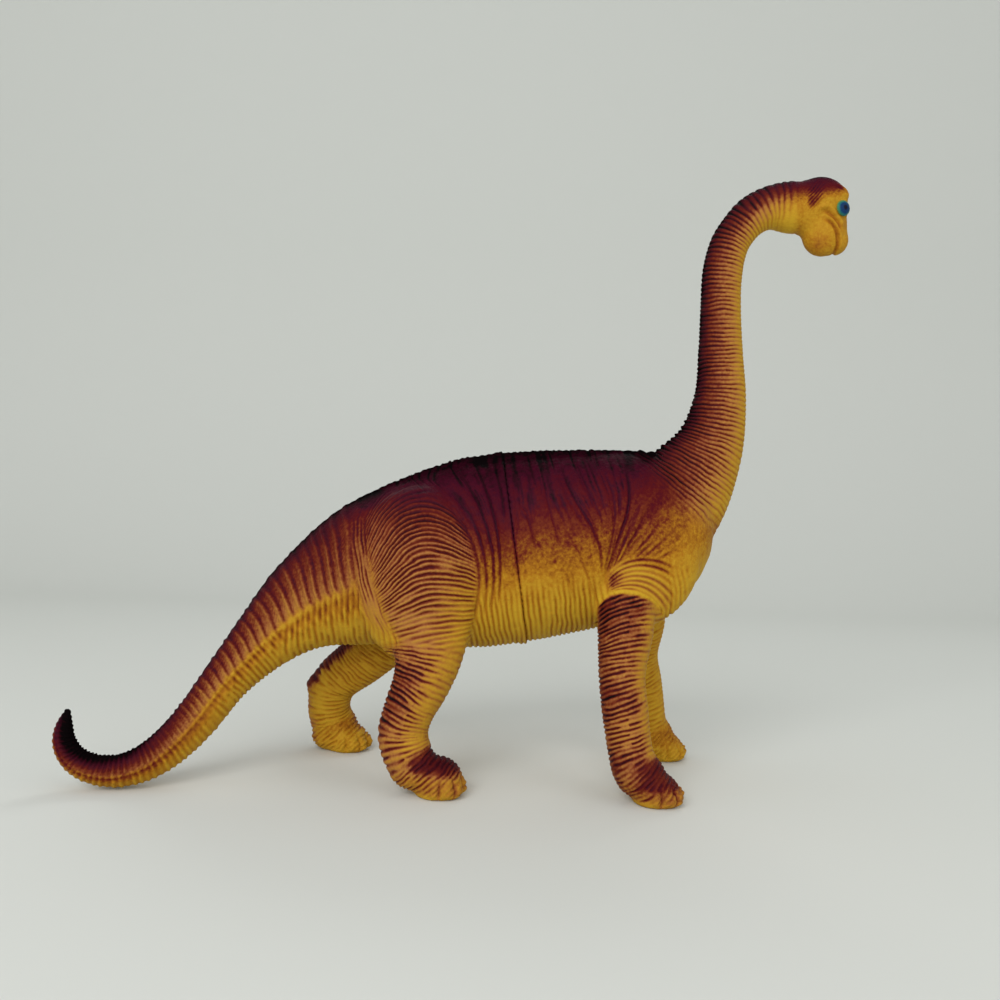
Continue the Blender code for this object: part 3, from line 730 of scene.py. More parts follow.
# %% Tail: the raised side line and the bands that hook back onto it
TAIL_PLACES = (0, 20, 50, 65, 95, 130, 150)
TAIL_PITCHES = (1.4, 1.5, 1.8, 2.9, 3.8, 3.9, 3.6)
HATCH_PITCH = 0.95
along = on_body.along
over_line = on_body.up - np.interp(along, (95, 125, 150), (-0.14, -0.08, 0.02))
above = ease(-0.02, 0.12, over_line)
below = 1 - above
hook = np.clip(1 - over_line / 0.9, 0, 1) ** 2
flick = np.exp(-np.maximum(over_line, 0) / 0.12)
swept = along + np.interp(along, (40, 110), (0.8, 5.6)) * hook
swept = swept - np.interp(along, (40, 110), (0.4, 2.4)) * flick
band_phase = turns_along(swept, on_body.length, TAIL_PLACES, TAIL_PITCHES) + 0.12 * swirl
band_tops = stripes(band_phase, np.interp(along, (50, 90), (1.3, 2.4)))
band_tops = band_tops * broken(band_phase, on_body.girth, 7.0, 51, 0.5)
# Painted shadow: a dark line beside each ridge stands for the shadow that the ridge casts; it is also pressed
# in a little.
ridge_shadow_line = stripes(band_phase - 0.20, 3.5) * ease(40, 70, along)  # the dark line beside each ridge
between_tops = 1 - band_tops
hatch = stripes(on_body.girth / HATCH_PITCH + 0.35 * noise(points, 2.0, 52), 1.0) * between_tops
print("tail ridges:", int((band_tops * tail > 0.5).sum()), "points")

# %% Tail: ribs underneath, bumps below the side line, and all of it laid on the skin
UNDER_PITCH = 1.75
under_wander = 0.20 * noise(points, 5.0, 53)
upright = ease(-62, -54, x)  # under the root of the tail the ribs stand upright
under_ribs = (1 - upright) * stripes(along / UNDER_PITCH + under_wander, 1.2)
under_ribs += upright * stripes(x / UNDER_PITCH + under_wander, 1.2)
under_ribs *= broken(x / UNDER_PITCH, on_body.girth, 4.0, 54, 0.4)
bump_phase = turns_along(along, on_body.length, TAIL_PLACES, TAIL_PITCHES)
bumps = stripes(bump_phase, 0.8) * np.exp(-(((over_line + 0.30) / 0.15) ** 2))
side_ridge = np.exp(-((over_line / 0.07) ** 2)) * (0.75 + 0.25 * np.cos(2 * np.pi * bump_phase))
size_fade = np.interp(along, (0, 15, 60), (0.40, 0.75, 1.0))
curl = ease(75, 45, along)
outline = ease(0.80, 0.97, on_body.up)
tail_lift = above * (1 - 0.6 * outline) * (0.66 * band_tops - 0.16 * ridge_shadow_line - 0.17 * hatch)
tail_lift += below * ((1 - curl) * -0.46 * under_ribs + curl * 0.45 * band_tops)
tail_lift += 0.50 * bumps + 0.42 * side_ridge
# The line beside each ridge adds painted shadow to the darkness between the ridges.
top_valley = 0.22 * between_tops + 0.12 * hatch + 0.50 * ridge_shadow_line
low_valley = 0.48 * under_ribs * (1 - curl) + 0.35 * curl * between_tops
low_valley += 0.34 * ease(-0.62, -0.35, on_body.up) * (1 - bumps)
tail_valley = above * (1 - 0.5 * ease(0.4, 0.9, on_body.up)) * top_valley + below * low_valley
tail_here = tail * (1 - thigh) * (1 - 0.9 * behind)
for leg in legs:
    tail_here = tail_here * (1 - leg)
lay(tail_here, size_fade * tail_lift, np.clip(tail_valley - 0.6 * side_ridge, 0, 1))
print("tail bands:", round(bump_phase[tail_here > 0.5].max()))

# %% [markdown]
# Legs and neck are wrapped in small wrinkles, as if the skin were too big. Even rings would look
# turned on a lathe, so the running number is bent by random swells. Toes are short bumps with
# narrow gaps between them, and both are set out by their angle round the toe pad.

# %% Legs: wrinkles round the leg, finer and slanting over the foot, and small toes
WRINKLE_TILTS = (1.6, 0.8, -0.6, 0.6)  # how far a wrinkle climbs from the back to the front, mm
LEG_PITCH, FOOT_PITCH = 1.50, 1.35
TOE_SPACING = 30  # degrees round the toe pad
ragged = []  # how far forward the paint reaches in each wrinkle
for number, (place, leg, rows, pad) in enumerate(zip(on_legs, legs, LEGS, PAD_AHEAD)):
    ankle = place.length - 18
    foot = ease(ankle, ankle + 6, place.along)
    arch = -2.6 * np.clip(-place.up, 0, 1) ** 2 * ease(34, 50, z) * (number < 2)
    phase = (place.along + arch + WRINKLE_TILTS[number] * place.up * (1 - foot)) / LEG_PITCH
    phase = phase + 0.34 * noise(points, (6, 6, 4), 61 + number)
    phase = phase + 0.13 * noise(points, (2.5, 2.5, 2), 161 + number)
    wrinkles = stripes(phase, 1.7) * broken(phase, place.girth, 4.2, 65 + number, 0.3)
    ragged.append(noise(np.column_stack([phase / 1.3, place.girth / 5, 0 * phase]), 1.0, 171 + number))
    small_phase = ((x - rows[-1][0]) * 0.68 - z * 0.73) / FOOT_PITCH + 0.30 * noise(points, 3.0, 69 + number)
    small = stripes(small_phase, 1.2) * broken(small_phase, x + z, 3.0, 71 + number, 0.3)
    mixed = (wrinkles * (1 - foot) + small * foot) * ease(0.6, 2.2, z)
    front_edge = (ease(0.35, 0.85, place.up) if number < 2 else ease(0.0, 0.7, place.up)) * (1 - foot)
    soft = 1 - 0.55 * front_edge if number != 3 else 1.0
    lay(
        leg,
        (-0.55 * mixed + 0.18 * (1 - foot)) * soft,
        np.clip(1.1 * mixed * soft * (1 - 0.3 * foot), 0, 1),
    )
    toe_x, toe_y = x - (rows[-1][0] + pad), y - rows[-1][1]
    toe_turn = np.degrees(np.arctan2(toe_y, toe_x + 1.5)) / TOE_SPACING
    at_toes = ease(1.5, 3.5, toe_x + 4) * ease(5.5, 7.5, np.hypot(toe_x + 1.5, toe_y)) * ease(7.5, 4.5, z)
    at_toes *= ease(14, 12, np.hypot(toe_x, toe_y))
    gaps = stripes(toe_turn + 0.5, 8)
    toes = 0.85 * (0.5 + 0.5 * np.cos(2 * np.pi * toe_turn)) ** 0.7 * ease(6.5, 3, z)
    relief += at_toes * ease(0.4, 1.8, z) * (toes - 0.55 * gaps)
    groove_paint_and_shade = np.maximum(groove_paint_and_shade * (1 - 0.5 * at_toes), 0.55 * at_toes * gaps)
print("relief from", round(relief.min(), 2), "to", round(relief.max(), 2), "mm")

# %% Neck: even ribs round the neck, coarser and softer towards the head
NECK_PLACES = (0, 30, 100, 125, 150)
NECK_PITCHES = (1.7, 1.45, 1.4, 2.2, 2.4)
neck_phase = turns_along(on_neck.along, on_neck.length, NECK_PLACES, NECK_PITCHES, 1500)
neck_phase = neck_phase + 0.30 * noise(points, (5, 5, 5), 81) + 0.12 * noise(points, (2.5, 2.5, 2), 83)
neck_ribs = stripes(neck_phase, 2.1) * broken(neck_phase, on_neck.girth, 5.0, 82, 0.6)
neck_ribs *= 1 - ease(98, 102, x) * ease(187, 183, z)
throat = ease(-0.35, -0.85, on_neck.up)
neck_depth = np.interp(on_neck.along, (0, 20, 40, 110, 130), (0.30, 0.42, 0.42, 0.38, 0.22))
neck_depth = neck_depth * (1 - 0.5 * throat)
neck_valley = (0.85 - 0.38 * throat) * ease(140, 105, on_neck.along) * neck_ribs
lay(neck, -neck_depth * neck_ribs + 0.10, neck_valley)
print("neck ribs:", round(neck_phase[neck > 0.5].max()))

# %% [markdown]
# Notches run along the spine, and the rear half's rim stands a little proud at the waist. The face
# is read by few creases: the mouth, the lip over it, the cheek, the brow and the jaw. Each is a
# line drawn with its own height and width, as with a modelling tool in clay.

# %% Spine and waist
WAIST_PLACE = 14.88  # between the rows of the body
SECTION_STEPS = 50
NOTCH_PITCH, NAPE_PITCH = 2.1, 2.4
SEAM_WIDTH, SEAM_DEPTH = 0.42, 0.15
centres, directions = sections(BODY, SECTION_STEPS)[:2]
at_waist = int(WAIST_PLACE * SECTION_STEPS)
waist_centre, waist_ahead = centres[at_waist], directions[at_waist]
past_waist = (points - waist_centre) @ waist_ahead
spine = ease(0.86, 0.98, on_body.up) * (1 - neck) * (1 - head)
notches = stripes((on_body.along + 0.6 * swirl) / NOTCH_PITCH, 1.0) * (0.6 + 0.4 * noise(points, 3.0, 91))
relief -= 0.30 * spine * notches
nape = ease(0.80, 0.97, on_neck.up) * neck * ease(60, 30, on_neck.along)
relief += 0.70 * nape * (1 - stripes(on_neck.along / NAPE_PITCH + 0.3 * swirl, 0.7))
rim = ease(-4.2, -0.6, past_waist) * (past_waist < 0)
relief += rim * np.interp(on_body.up, (-1.0, -0.6, 0.5, 1.0), (0.7, 0.5, 0.3, 0.5))
seam = np.exp(-((past_waist / SEAM_WIDTH) ** 2))
relief -= SEAM_DEPTH * seam
# Painted shade: the waist seam is darkened in the paint as the shadowed gap between the halves.
groove_paint_and_shade = np.maximum(groove_paint_and_shade, 0.5 * seam)
print("waist centre in mm:", waist_centre.round(1).tolist())

# %% Head: the mouth and the creases of the face, as place ahead and height
MOUTH = (
    (110.4, 184.2), (111.8, 183.9), (113.0, 183.2), (114.6, 181.8), (115.6, 180.4),
    (116.3, 178.8), (116.7, 177.4), (116.9, 176.0), (116.8, 174.0), (116.2, 172.4),
)
LIP = (
    (111.2, 185.1), (112.9, 184.7), (114.5, 183.5), (116.0, 181.9),
    (117.0, 180.2), (117.7, 178.2), (118.1, 176.0), (117.9, 174.0),
)
CHEEK = (
    (109.4, 185.2), (110.4, 187.2), (112.4, 188.1), (114.3, 187.0),
    (116.0, 185.0), (117.4, 182.8), (118.5, 180.6),
)
CHEEK_VALLEY = (
    (110.6, 186.4), (112.0, 186.2), (113.5, 185.3),
    (115.0, 183.9), (116.3, 182.3), (117.4, 180.4),
)
BROW = ((114.5, 194.2), (117.0, 193.5), (119.4, 192.0))
JAW_BACK = ((104.2, 182.1), (104.4, 180.2), (105.4, 178.4))
FACE = (  # height, half width, line, how dark
    (-0.75, 1.0, MOUTH, 0.42), (0.34, 0.8, LIP, 0), (0.50, 1.3, CHEEK, 0),
    (-0.50, 1.0, CHEEK_VALLEY, 0.36), (-0.35, 0.8, BROW, 0.3), (-0.30, 0.9, JAW_BACK, 0.1),
)
head_lift, head_valley = np.zeros(len(points)), np.zeros(len(points))
for height, width, line, dark in FACE:
    drawn = line_groove(line, width)
    head_lift += height * drawn
    head_valley = np.maximum(head_valley, dark * drawn)
SCRATCH_PITCH = 0.85
scratch_phase = ((x - 106) * 0.75 - (z - 186) * 0.66) / SCRATCH_PITCH + 0.3 * noise(points, 2.5, 95)
scratches = stripes(scratch_phase, 1.2)
temple = ease(1.25, 0.35, np.hypot((x - 107.6 - 0.35 * (z - 190)) / 3.4, (z - 190.8) / 5.2))
temple = temple * ease(104.2, 107.0, x)
head_lift -= 0.20 * temple * scratches
head_valley = np.maximum(head_valley, 0.6 * temple * scratches)
head_lift += 0.35 * ease(188.5, 190.5, z) * ease(104.6, 106.6, x)
lay(head, head_lift + 0.03 * pebbles, head_valley)
print("relief from", round(relief.min(), 2), "to", round(relief.max(), 2), "mm")

# %% Press the relief into the skin
pressed = points + normals * relief[:, None]
write_points(skin, pressed)
print("skin box in mm:", [pressed.min(0).round(1).tolist(), pressed.max(0).round(1).tolist()])

# %% [markdown]
# ## Where the paint falls
#
# The toy is moulded in golden yellow and sprayed from above: first orange, then maroon, then a
# nearly black line along the spine. The spray thins out down the flanks, and thin paint settles in
# the grooves and leaves the ribs bare. One number from 0 (bare yellow) to 1 (black) says how much
# paint a point has. The groove depth is kept beside it, so that the material can darken grooves,
# partly for the paint pooled there and partly as painted shade.

# %% Tables of paint, by place along a limb and height on its section
HEIGHTS = (-1.0, -0.6, -0.4, -0.2, -0.05, 0.15, 0.4, 0.7, 0.93, 1.02)
BODY_PAINT = (
    (0, (0.90, 0.92, 0.96, 1.00, 1.00, 1.00, 1.00, 1.00, 1.00, 1.00)),
    (8, (0.28, 0.36, 0.50, 0.66, 0.80, 0.92, 1.00, 1.00, 1.00, 1.00)),
    (18, (0.10, 0.14, 0.22, 0.32, 0.42, 0.56, 0.78, 0.96, 1.00, 1.00)),
    (32, (0.05, 0.10, 0.19, 0.30, 0.39, 0.50, 0.65, 0.86, 1.00, 1.00)),
    (60, (0.04, 0.08, 0.11, 0.16, 0.21, 0.28, 0.38, 0.53, 0.84, 1.00)),
    (100, (0.03, 0.04, 0.06, 0.10, 0.16, 0.26, 0.36, 0.49, 0.84, 1.00)),
    (130, (0.03, 0.04, 0.07, 0.14, 0.23, 0.34, 0.44, 0.55, 0.86, 1.00)),
    (150, (0.02, 0.05, 0.12, 0.28, 0.40, 0.52, 0.63, 0.74, 0.92, 1.00)),
    (174, (0.00, 0.02, 0.13, 0.33, 0.45, 0.60, 0.78, 0.84, 0.95, 1.00)),
    (180, (0.00, 0.03, 0.15, 0.32, 0.41, 0.52, 0.69, 0.80, 0.95, 1.00)),
    (200, (0.00, 0.03, 0.15, 0.32, 0.41, 0.52, 0.68, 0.78, 0.94, 1.00)),
    (218, (0.04, 0.11, 0.20, 0.30, 0.39, 0.49, 0.60, 0.75, 0.87, 1.00)),
    (232, (0.04, 0.09, 0.15, 0.21, 0.26, 0.31, 0.36, 0.40, 0.42, 0.42)),
)
REAR_PAINT_END = 174  # the coats change at the waist, so the rear half keeps to the rows up to this one
NECK_PAINT = (
    (0, (0.04, 0.10, 0.17, 0.31, 0.46, 0.61, 0.72, 0.81, 0.93, 1.00)),
    (30, (0.05, 0.12, 0.22, 0.31, 0.36, 0.41, 0.49, 0.60, 0.86, 1.00)),
    (90, (0.06, 0.14, 0.22, 0.28, 0.32, 0.37, 0.44, 0.56, 0.82, 0.97)),
    (112, (0.04, 0.10, 0.17, 0.27, 0.40, 0.55, 0.67, 0.78, 0.91, 0.99)),
    (130, (0.03, 0.05, 0.06, 0.09, 0.15, 0.31, 0.53, 0.77, 0.92, 0.99)),
)

print("rows of paint:", len(BODY_PAINT) + len(NECK_PAINT))


def paint_from(table, along, height):
    """The paint at a place, between the rows and columns of a table."""
    stops = np.array([row[0] for row in table], float)
    rows = np.array([np.interp(height, HEIGHTS, row[1]) for row in table])
    first = np.clip(np.searchsorted(stops, along) - 1, 0, len(stops) - 2)
    share = np.clip((along - stops[first]) / (stops[first + 1] - stops[first]), 0, 1)
    each = np.arange(len(along))
    return rows[first, each] * (1 - share) + rows[first + 1, each] * share


# %% Paint on the body, the thighs and the rump; a rosy tint marks the browner coats
THIGH_PAINT = (  # height in mm, amount
    (42, 0.14), (50, 0.21), (60, 0.27), (68, 0.31), (75, 0.38),
    (80, 0.46), (84, 0.55), (88, 0.64), (92, 0.73), (96, 0.81),
)
RUMP_PAINT = ((50, 0.14), (60, 0.25), (70, 0.36), (80, 0.47), (86, 0.58))
drift = 0.035 * noise(points, 6.0, 101) + 0.035 * noise(points, 2.2, 102)
steady = ease(0.98, 0.80, on_body.up)  # the dark line on the spine has a firm edge
body_along = np.where(past_waist < 0, np.minimum(on_body.along, REAR_PAINT_END), on_body.along)
paint = paint_from(BODY_PAINT, body_along, on_body.up + drift * steady)
rosy = tail_here * ease(-0.2, 0.1, on_body.up) * (0.80 - 0.35 * ease(0.0, 0.5, on_body.up))
sunny = ease(-14, 2, thigh_x) * ease(80, 58, z)  # the front of the thigh is yellower
thigh_paint = row_at(THIGH_PAINT, z + 20 * drift) - 0.16 * sunny
thigh_paint = np.maximum(thigh_paint, 0.66 * ease(6, 0, inset_front) * ease(70, 84, z))
soft_thigh = ease(-1.5, 4.0, np.minimum(inset_front + 1, inset_rear)) * on_flank
soft_thigh = soft_thigh * ease(38, 45, z) * ease(99, 90, z)
paint = paint * (1 - soft_thigh) + thigh_paint * soft_thigh
rosy = rosy * (1 - soft_thigh) + soft_thigh * ease(92, 80, z) * (1 - 0.75 * sunny)
rump_zone = (1 - soft_thigh) * behind * ease(90, 66, z)
paint = paint * (1 - rump_zone) + row_at(RUMP_PAINT, z) * rump_zone
rosy = np.maximum(rosy, 0.85 * rump_zone)
print("body paint from", round(paint.min(), 2), "to", round(paint.max(), 2))

# %% Paint on the legs: bare shins, dark insteps and yellow toes
FORELEG_PAINT = (  # height in mm, amount
    (6, 0.30), (10, 0.36), (14, 0.38), (20, 0.23), (26, 0.32),
    (32, 0.40), (38, 0.30), (46, 0.32), (52, 0.42), (58, 0.51),
)
HIND_LEG_PAINT = ((6, 0.22), (10, 0.28), (14, 0.28), (20, 0.31), (28, 0.38), (36, 0.37), (42, 0.23))
BARE_PAINT = 0.12  # left on the shins and on the sides that the spray misses
INSTEPS = ((3.6, 15.5, 0.66), (6.2, 17.0, 0.76))  # fore and hind: low edge and high edge in mm, amount


def coat(mask, amount, tint):
    """Sprays an amount of paint and a rosy tint over what is there, where its mask is 1."""
    global paint, rosy
    paint = paint * (1 - mask) + amount * mask
    rosy = rosy * (1 - mask) + tint * mask


arch_paint = 0.08 + 0.34 * ease(50, 44, fore_x) * ease(1.5, 3, above_lip) * ease(8, 5, above_lip)
coat(arches * ease(12, 7, above_lip), arch_paint, 0.3)
coat(lip_band, 0.05, 0.0)
for number, (place, leg, side, rows) in enumerate(zip(on_legs, legs, outside, LEGS)):
    fore, near_side = number < 2, number % 2 == 0
    sprayed = ease(-0.45, 0.25, side) * (1.0 if near_side else 0.55)
    ankle = place.length - 18
    foot = ease(ankle, ankle + 5, place.along)
    uneven = place.up + 0.22 * ragged[number] + 0.10 * swirl
    if fore:
        amount = row_at(FORELEG_PAINT, z) + 0.10 * ease(-0.3, -0.9, uneven)
        bare = ease(0.15, 0.95, uneven)
    else:
        amount = row_at(HIND_LEG_PAINT, z) + 0.12 * ease(-0.1, -0.8, uneven) * ease(12, 20, z)
        bare = ease(-0.40, 0.50, uneven)
    amount = amount + (BARE_PAINT - amount) * bare * (1 - foot)
    forward = x - rows[-1][0]
    low, high, dark = INSTEPS[number // 2]
    instep = ease(-1.5, 3.0, forward + 1.5 * ragged[number])
    instep *= ease(low, low + 3.5, z + 0.8 * ragged[number])
    instep *= ease(3.5, 0.5, z - high + 0.5 * forward) * foot
    groove_paint_and_shade *= 1 - 0.45 * leg * instep
    amount *= 1 - 0.6 * ease(2.6, 0.8, z)
    amount = BARE_PAINT + (amount - BARE_PAINT) * sprayed
    amount = amount + (dark - amount) * instep * (ease(-0.9, -0.2, side) if near_side else 0.25)
    edge = ease(0.48, 0.95, -place.up - 0.25 * ragged[number]) * (number == 3)  # back of the left hind leg
    back_paint = 0.66 * edge * ease(58, 50, z) * (0.45 + 0.55 * ease(20, 25, z)) * ease(1, 5, z)
    amount = np.maximum(amount, back_paint)
    if not near_side:
        groove_paint_and_shade *= 1 - 0.65 * leg * ease(0.2, -0.4, side)
    plain = 1 - np.maximum(0.6 * foot * ease(9, 5, z), 0.4 * bare * (1 - foot))  # yellower toes and shins
    coat(leg, amount + drift, 0.85 * plain * np.maximum(sprayed, edge))
print("paint on the legs up to", round(max(paint[leg > 0.5].max() for leg in legs), 2))

# %% Paint on the neck and the head
CROWN_PAINT = ((189.0, 0.10), (191.0, 0.28), (193.0, 0.58), (195.0, 0.72), (197.0, 0.84), (198.2, 1.0))
neck_tint = 0.85 * ease(-0.9, -0.5, on_neck.up) * ease(128, 112, on_neck.along)
coat(neck, paint_from(NECK_PAINT, on_neck.along, on_neck.up + drift), neck_tint)
crown = row_at(CROWN_PAINT, z - 0.10 * (x - 113) + 6 * drift)
crown *= 1 - 0.70 * ease(115.5, 119.5, x)  # the brow is paler
crown = np.maximum(crown, 0.46 * temple)
chin = np.exp(-(((x - 111.0) / 2.8) ** 2) - ((z - 176.2) / 2.8) ** 2)
snout = np.exp(-(((x - 119.0) / 1.8) ** 2) - ((z - 182.5) / 3.2) ** 2)
# The head's base of 0.17 is a deeper yellow than the belly's: painted shade that darkens the whole head.
coat(head, np.maximum(crown, 0.17 + 0.15 * chin + 0.05 * snout), 0.15 * chin)
groove_paint_and_shade *= 1 - 0.5 * ease(0.55, 0.85, paint)  # thick paint fills the grooves
print("paint from", round(paint.min(), 2), "to", round(paint.max(), 2))

# %% Keep the paint, the grooves and the rosy tint with the skin
for name, values in {"paint": paint, "groove_paint_and_shade": groove_paint_and_shade, "rosy": rosy}.items():
    kept = skin.data.attributes.new(name, "FLOAT", "POINT")
    kept.data.foreach_set("value", np.clip(values, 0, 1).astype(np.float32))
print("kept:", [a.name for a in skin.data.attributes if a.data_type == "FLOAT"])

# %% [markdown]
# ## Two halves that plug together
#
# The mould parts at the waist, on a plane square to the body. Bisect cuts each half from the whole
# skin and fills the cut. The cut face is then drawn in and extruded: outwards and back in for the
# front half, which gives the hollow plug, and straight in for the rear half, which gives its socket.

# %% Cut the halves and shape their rims
WAIST_GAP = 0.12
WALL = 2.2
PLAY = 0.5  # between the plug and its socket
PLUG_LENGTH, PLUG_TAPER = 8.0, 0.5
SOCKET_DEPTH, HOLLOW_TAPER = 14.0, 1.0
WAIST_RADIUS = 26.0  # between the half width and the half height there
TRIANGLES_PER_HALF = 192000


def half_of(name, sign):
    """The skin ahead of the waist (1) or behind it (-1), with its cut face selected."""
    half = skin.copy()
    half.data = skin.data.copy()
    half.name = half.data.name = name
    bpy.context.collection.objects.link(half)
    pick(half)
    bpy.ops.object.mode_set(mode="EDIT")
    bpy.ops.mesh.select_mode(type="FACE")
    bpy.ops.mesh.select_all(action="SELECT")
    bpy.ops.mesh.bisect(
        plane_co=Vector(waist_centre + waist_ahead * (sign * WAIST_GAP / 2)) * MM,
        plane_no=Vector(waist_ahead * sign),
        clear_inner=True,
        use_fill=True,
    )
    bpy.ops.mesh.select_all(action="DESELECT")
    mesh = bmesh.from_edit_mesh(half.data)
    cut = max(mesh.faces, key=lambda face: len(face.verts))
    cut.select = True
    mesh.faces.active = cut
    bmesh.update_edit_mesh(half.data)
    return half


def push(distance, narrower):
    """Extrudes the selected face, forward where the distance is positive, and draws it in."""
    shift = Vector(waist_ahead) * (distance * MM)
    bpy.ops.mesh.extrude_region_move(TRANSFORM_OT_translate={"value": shift})
    shrink = 1 - narrower / WAIST_RADIUS
    face = next(f for f in bmesh.from_edit_mesh(bpy.context.object.data).faces if f.select)
    bpy.ops.transform.resize(value=(shrink, shrink, shrink), center_override=face.calc_center_bounds())


def finish_half(half):
    """Thins the mesh to the allowance of triangles and shades it smooth."""
    bpy.ops.mesh.select_all(action="SELECT")
    bpy.ops.mesh.quads_convert_to_tris()
    bpy.ops.object.mode_set(mode="OBJECT")
    lighter = half.modifiers.new("Fewer triangles", "DECIMATE")
    lighter.ratio = min(1.0, TRIANGLES_PER_HALF / len(half.data.polygons))
    apply_all(half)
    pick(half)
    bpy.ops.object.shade_smooth()
    print(half.name, "triangles:", len(half.data.polygons))


front = half_of("front_half", 1)
push(0, WALL + PLAY)
push(-PLUG_LENGTH, PLUG_TAPER)
push(0, WALL)
push(PLUG_LENGTH + SOCKET_DEPTH, HOLLOW_TAPER)
finish_half(front)
rear = half_of("rear_half", -1)
push(0, WALL)
push(-SOCKET_DEPTH, HOLLOW_TAPER)
finish_half(rear)
bpy.data.objects.remove(skin, do_unlink=True)

# %% [markdown]
# ## Sprayed vinyl
#
# Plasticised PVC is a satin, slightly waxy plastic: dielectric, with an IOR near 1.53, and rough
# enough that highlights are wide and dull. The spray is drawn by two colour ramps over the amount
# of paint, one for the trunk and one for the browner limbs. Small speckles where the coat is thin
# stand for the droplets. They are drawn about 1 mm across, coarser than real ones, so they show.

# %% A node with its settings and links
def add_node(tree, kind, settings=None, inputs=None):
    """Adds a node; an input is a plain value or the output socket that feeds it."""
    node = tree.nodes.new(kind)
    for name, value in (settings or {}).items():
        setattr(node, name, value)
    for name, value in (inputs or {}).items():
        if isinstance(value, bpy.types.NodeSocket):
            tree.links.new(value, node.inputs[name])
        else:
            node.inputs[name].default_value = value
    return node


def new_material(name):
    """An empty material and its node tree."""
    material = bpy.data.materials.new(name)
    material.use_nodes = True
    material.node_tree.nodes.clear()
    return material, material.node_tree


def sprayed_colours(tree, amount, stops):
    """A ramp through the coats of paint."""
    ramp = add_node(tree, "ShaderNodeValToRGB", inputs={"Fac": amount})
    bar = ramp.color_ramp
    while len(bar.elements) < len(stops):
        bar.elements.new(1.0)
    for element, (place, colour) in zip(bar.elements, stops):
        element.position = place
        element.color = linear(colour)
    return ramp.outputs["Color"]


# %% Sprayed PVC: satin and waxy, with soft-edged coats that are darker in the grooves, partly as painted shade
TRUNK_COATS = (
    (0.00, "BC9727"),
    (0.14, "B08421"),
    (0.28, "9D6816"),
    (0.40, "834D12"),
    (0.52, "672911"),
    (0.66, "4E0A10"),
    (0.82, "39071A"),
    (1.00, "0B0708"),
)
LIMB_COATS = (
    (0.00, "B89025"),
    (0.16, "A87A28"),
    (0.32, "A06C34"),
    (0.46, "884E2C"),
    (0.58, "6C2E16"),
    (0.70, "54160F"),
    (0.86, "390A13"),
    (1.00, "0B0708"),
)
DROPLETS_PER_METRE = 1050.0  # about 1 mm each
BLOTCHES_PER_METRE = 260.0  # about 4 mm each
DROPLET_HEIGHT = 0.00045  # metres, higher than real ones, so that they catch the light


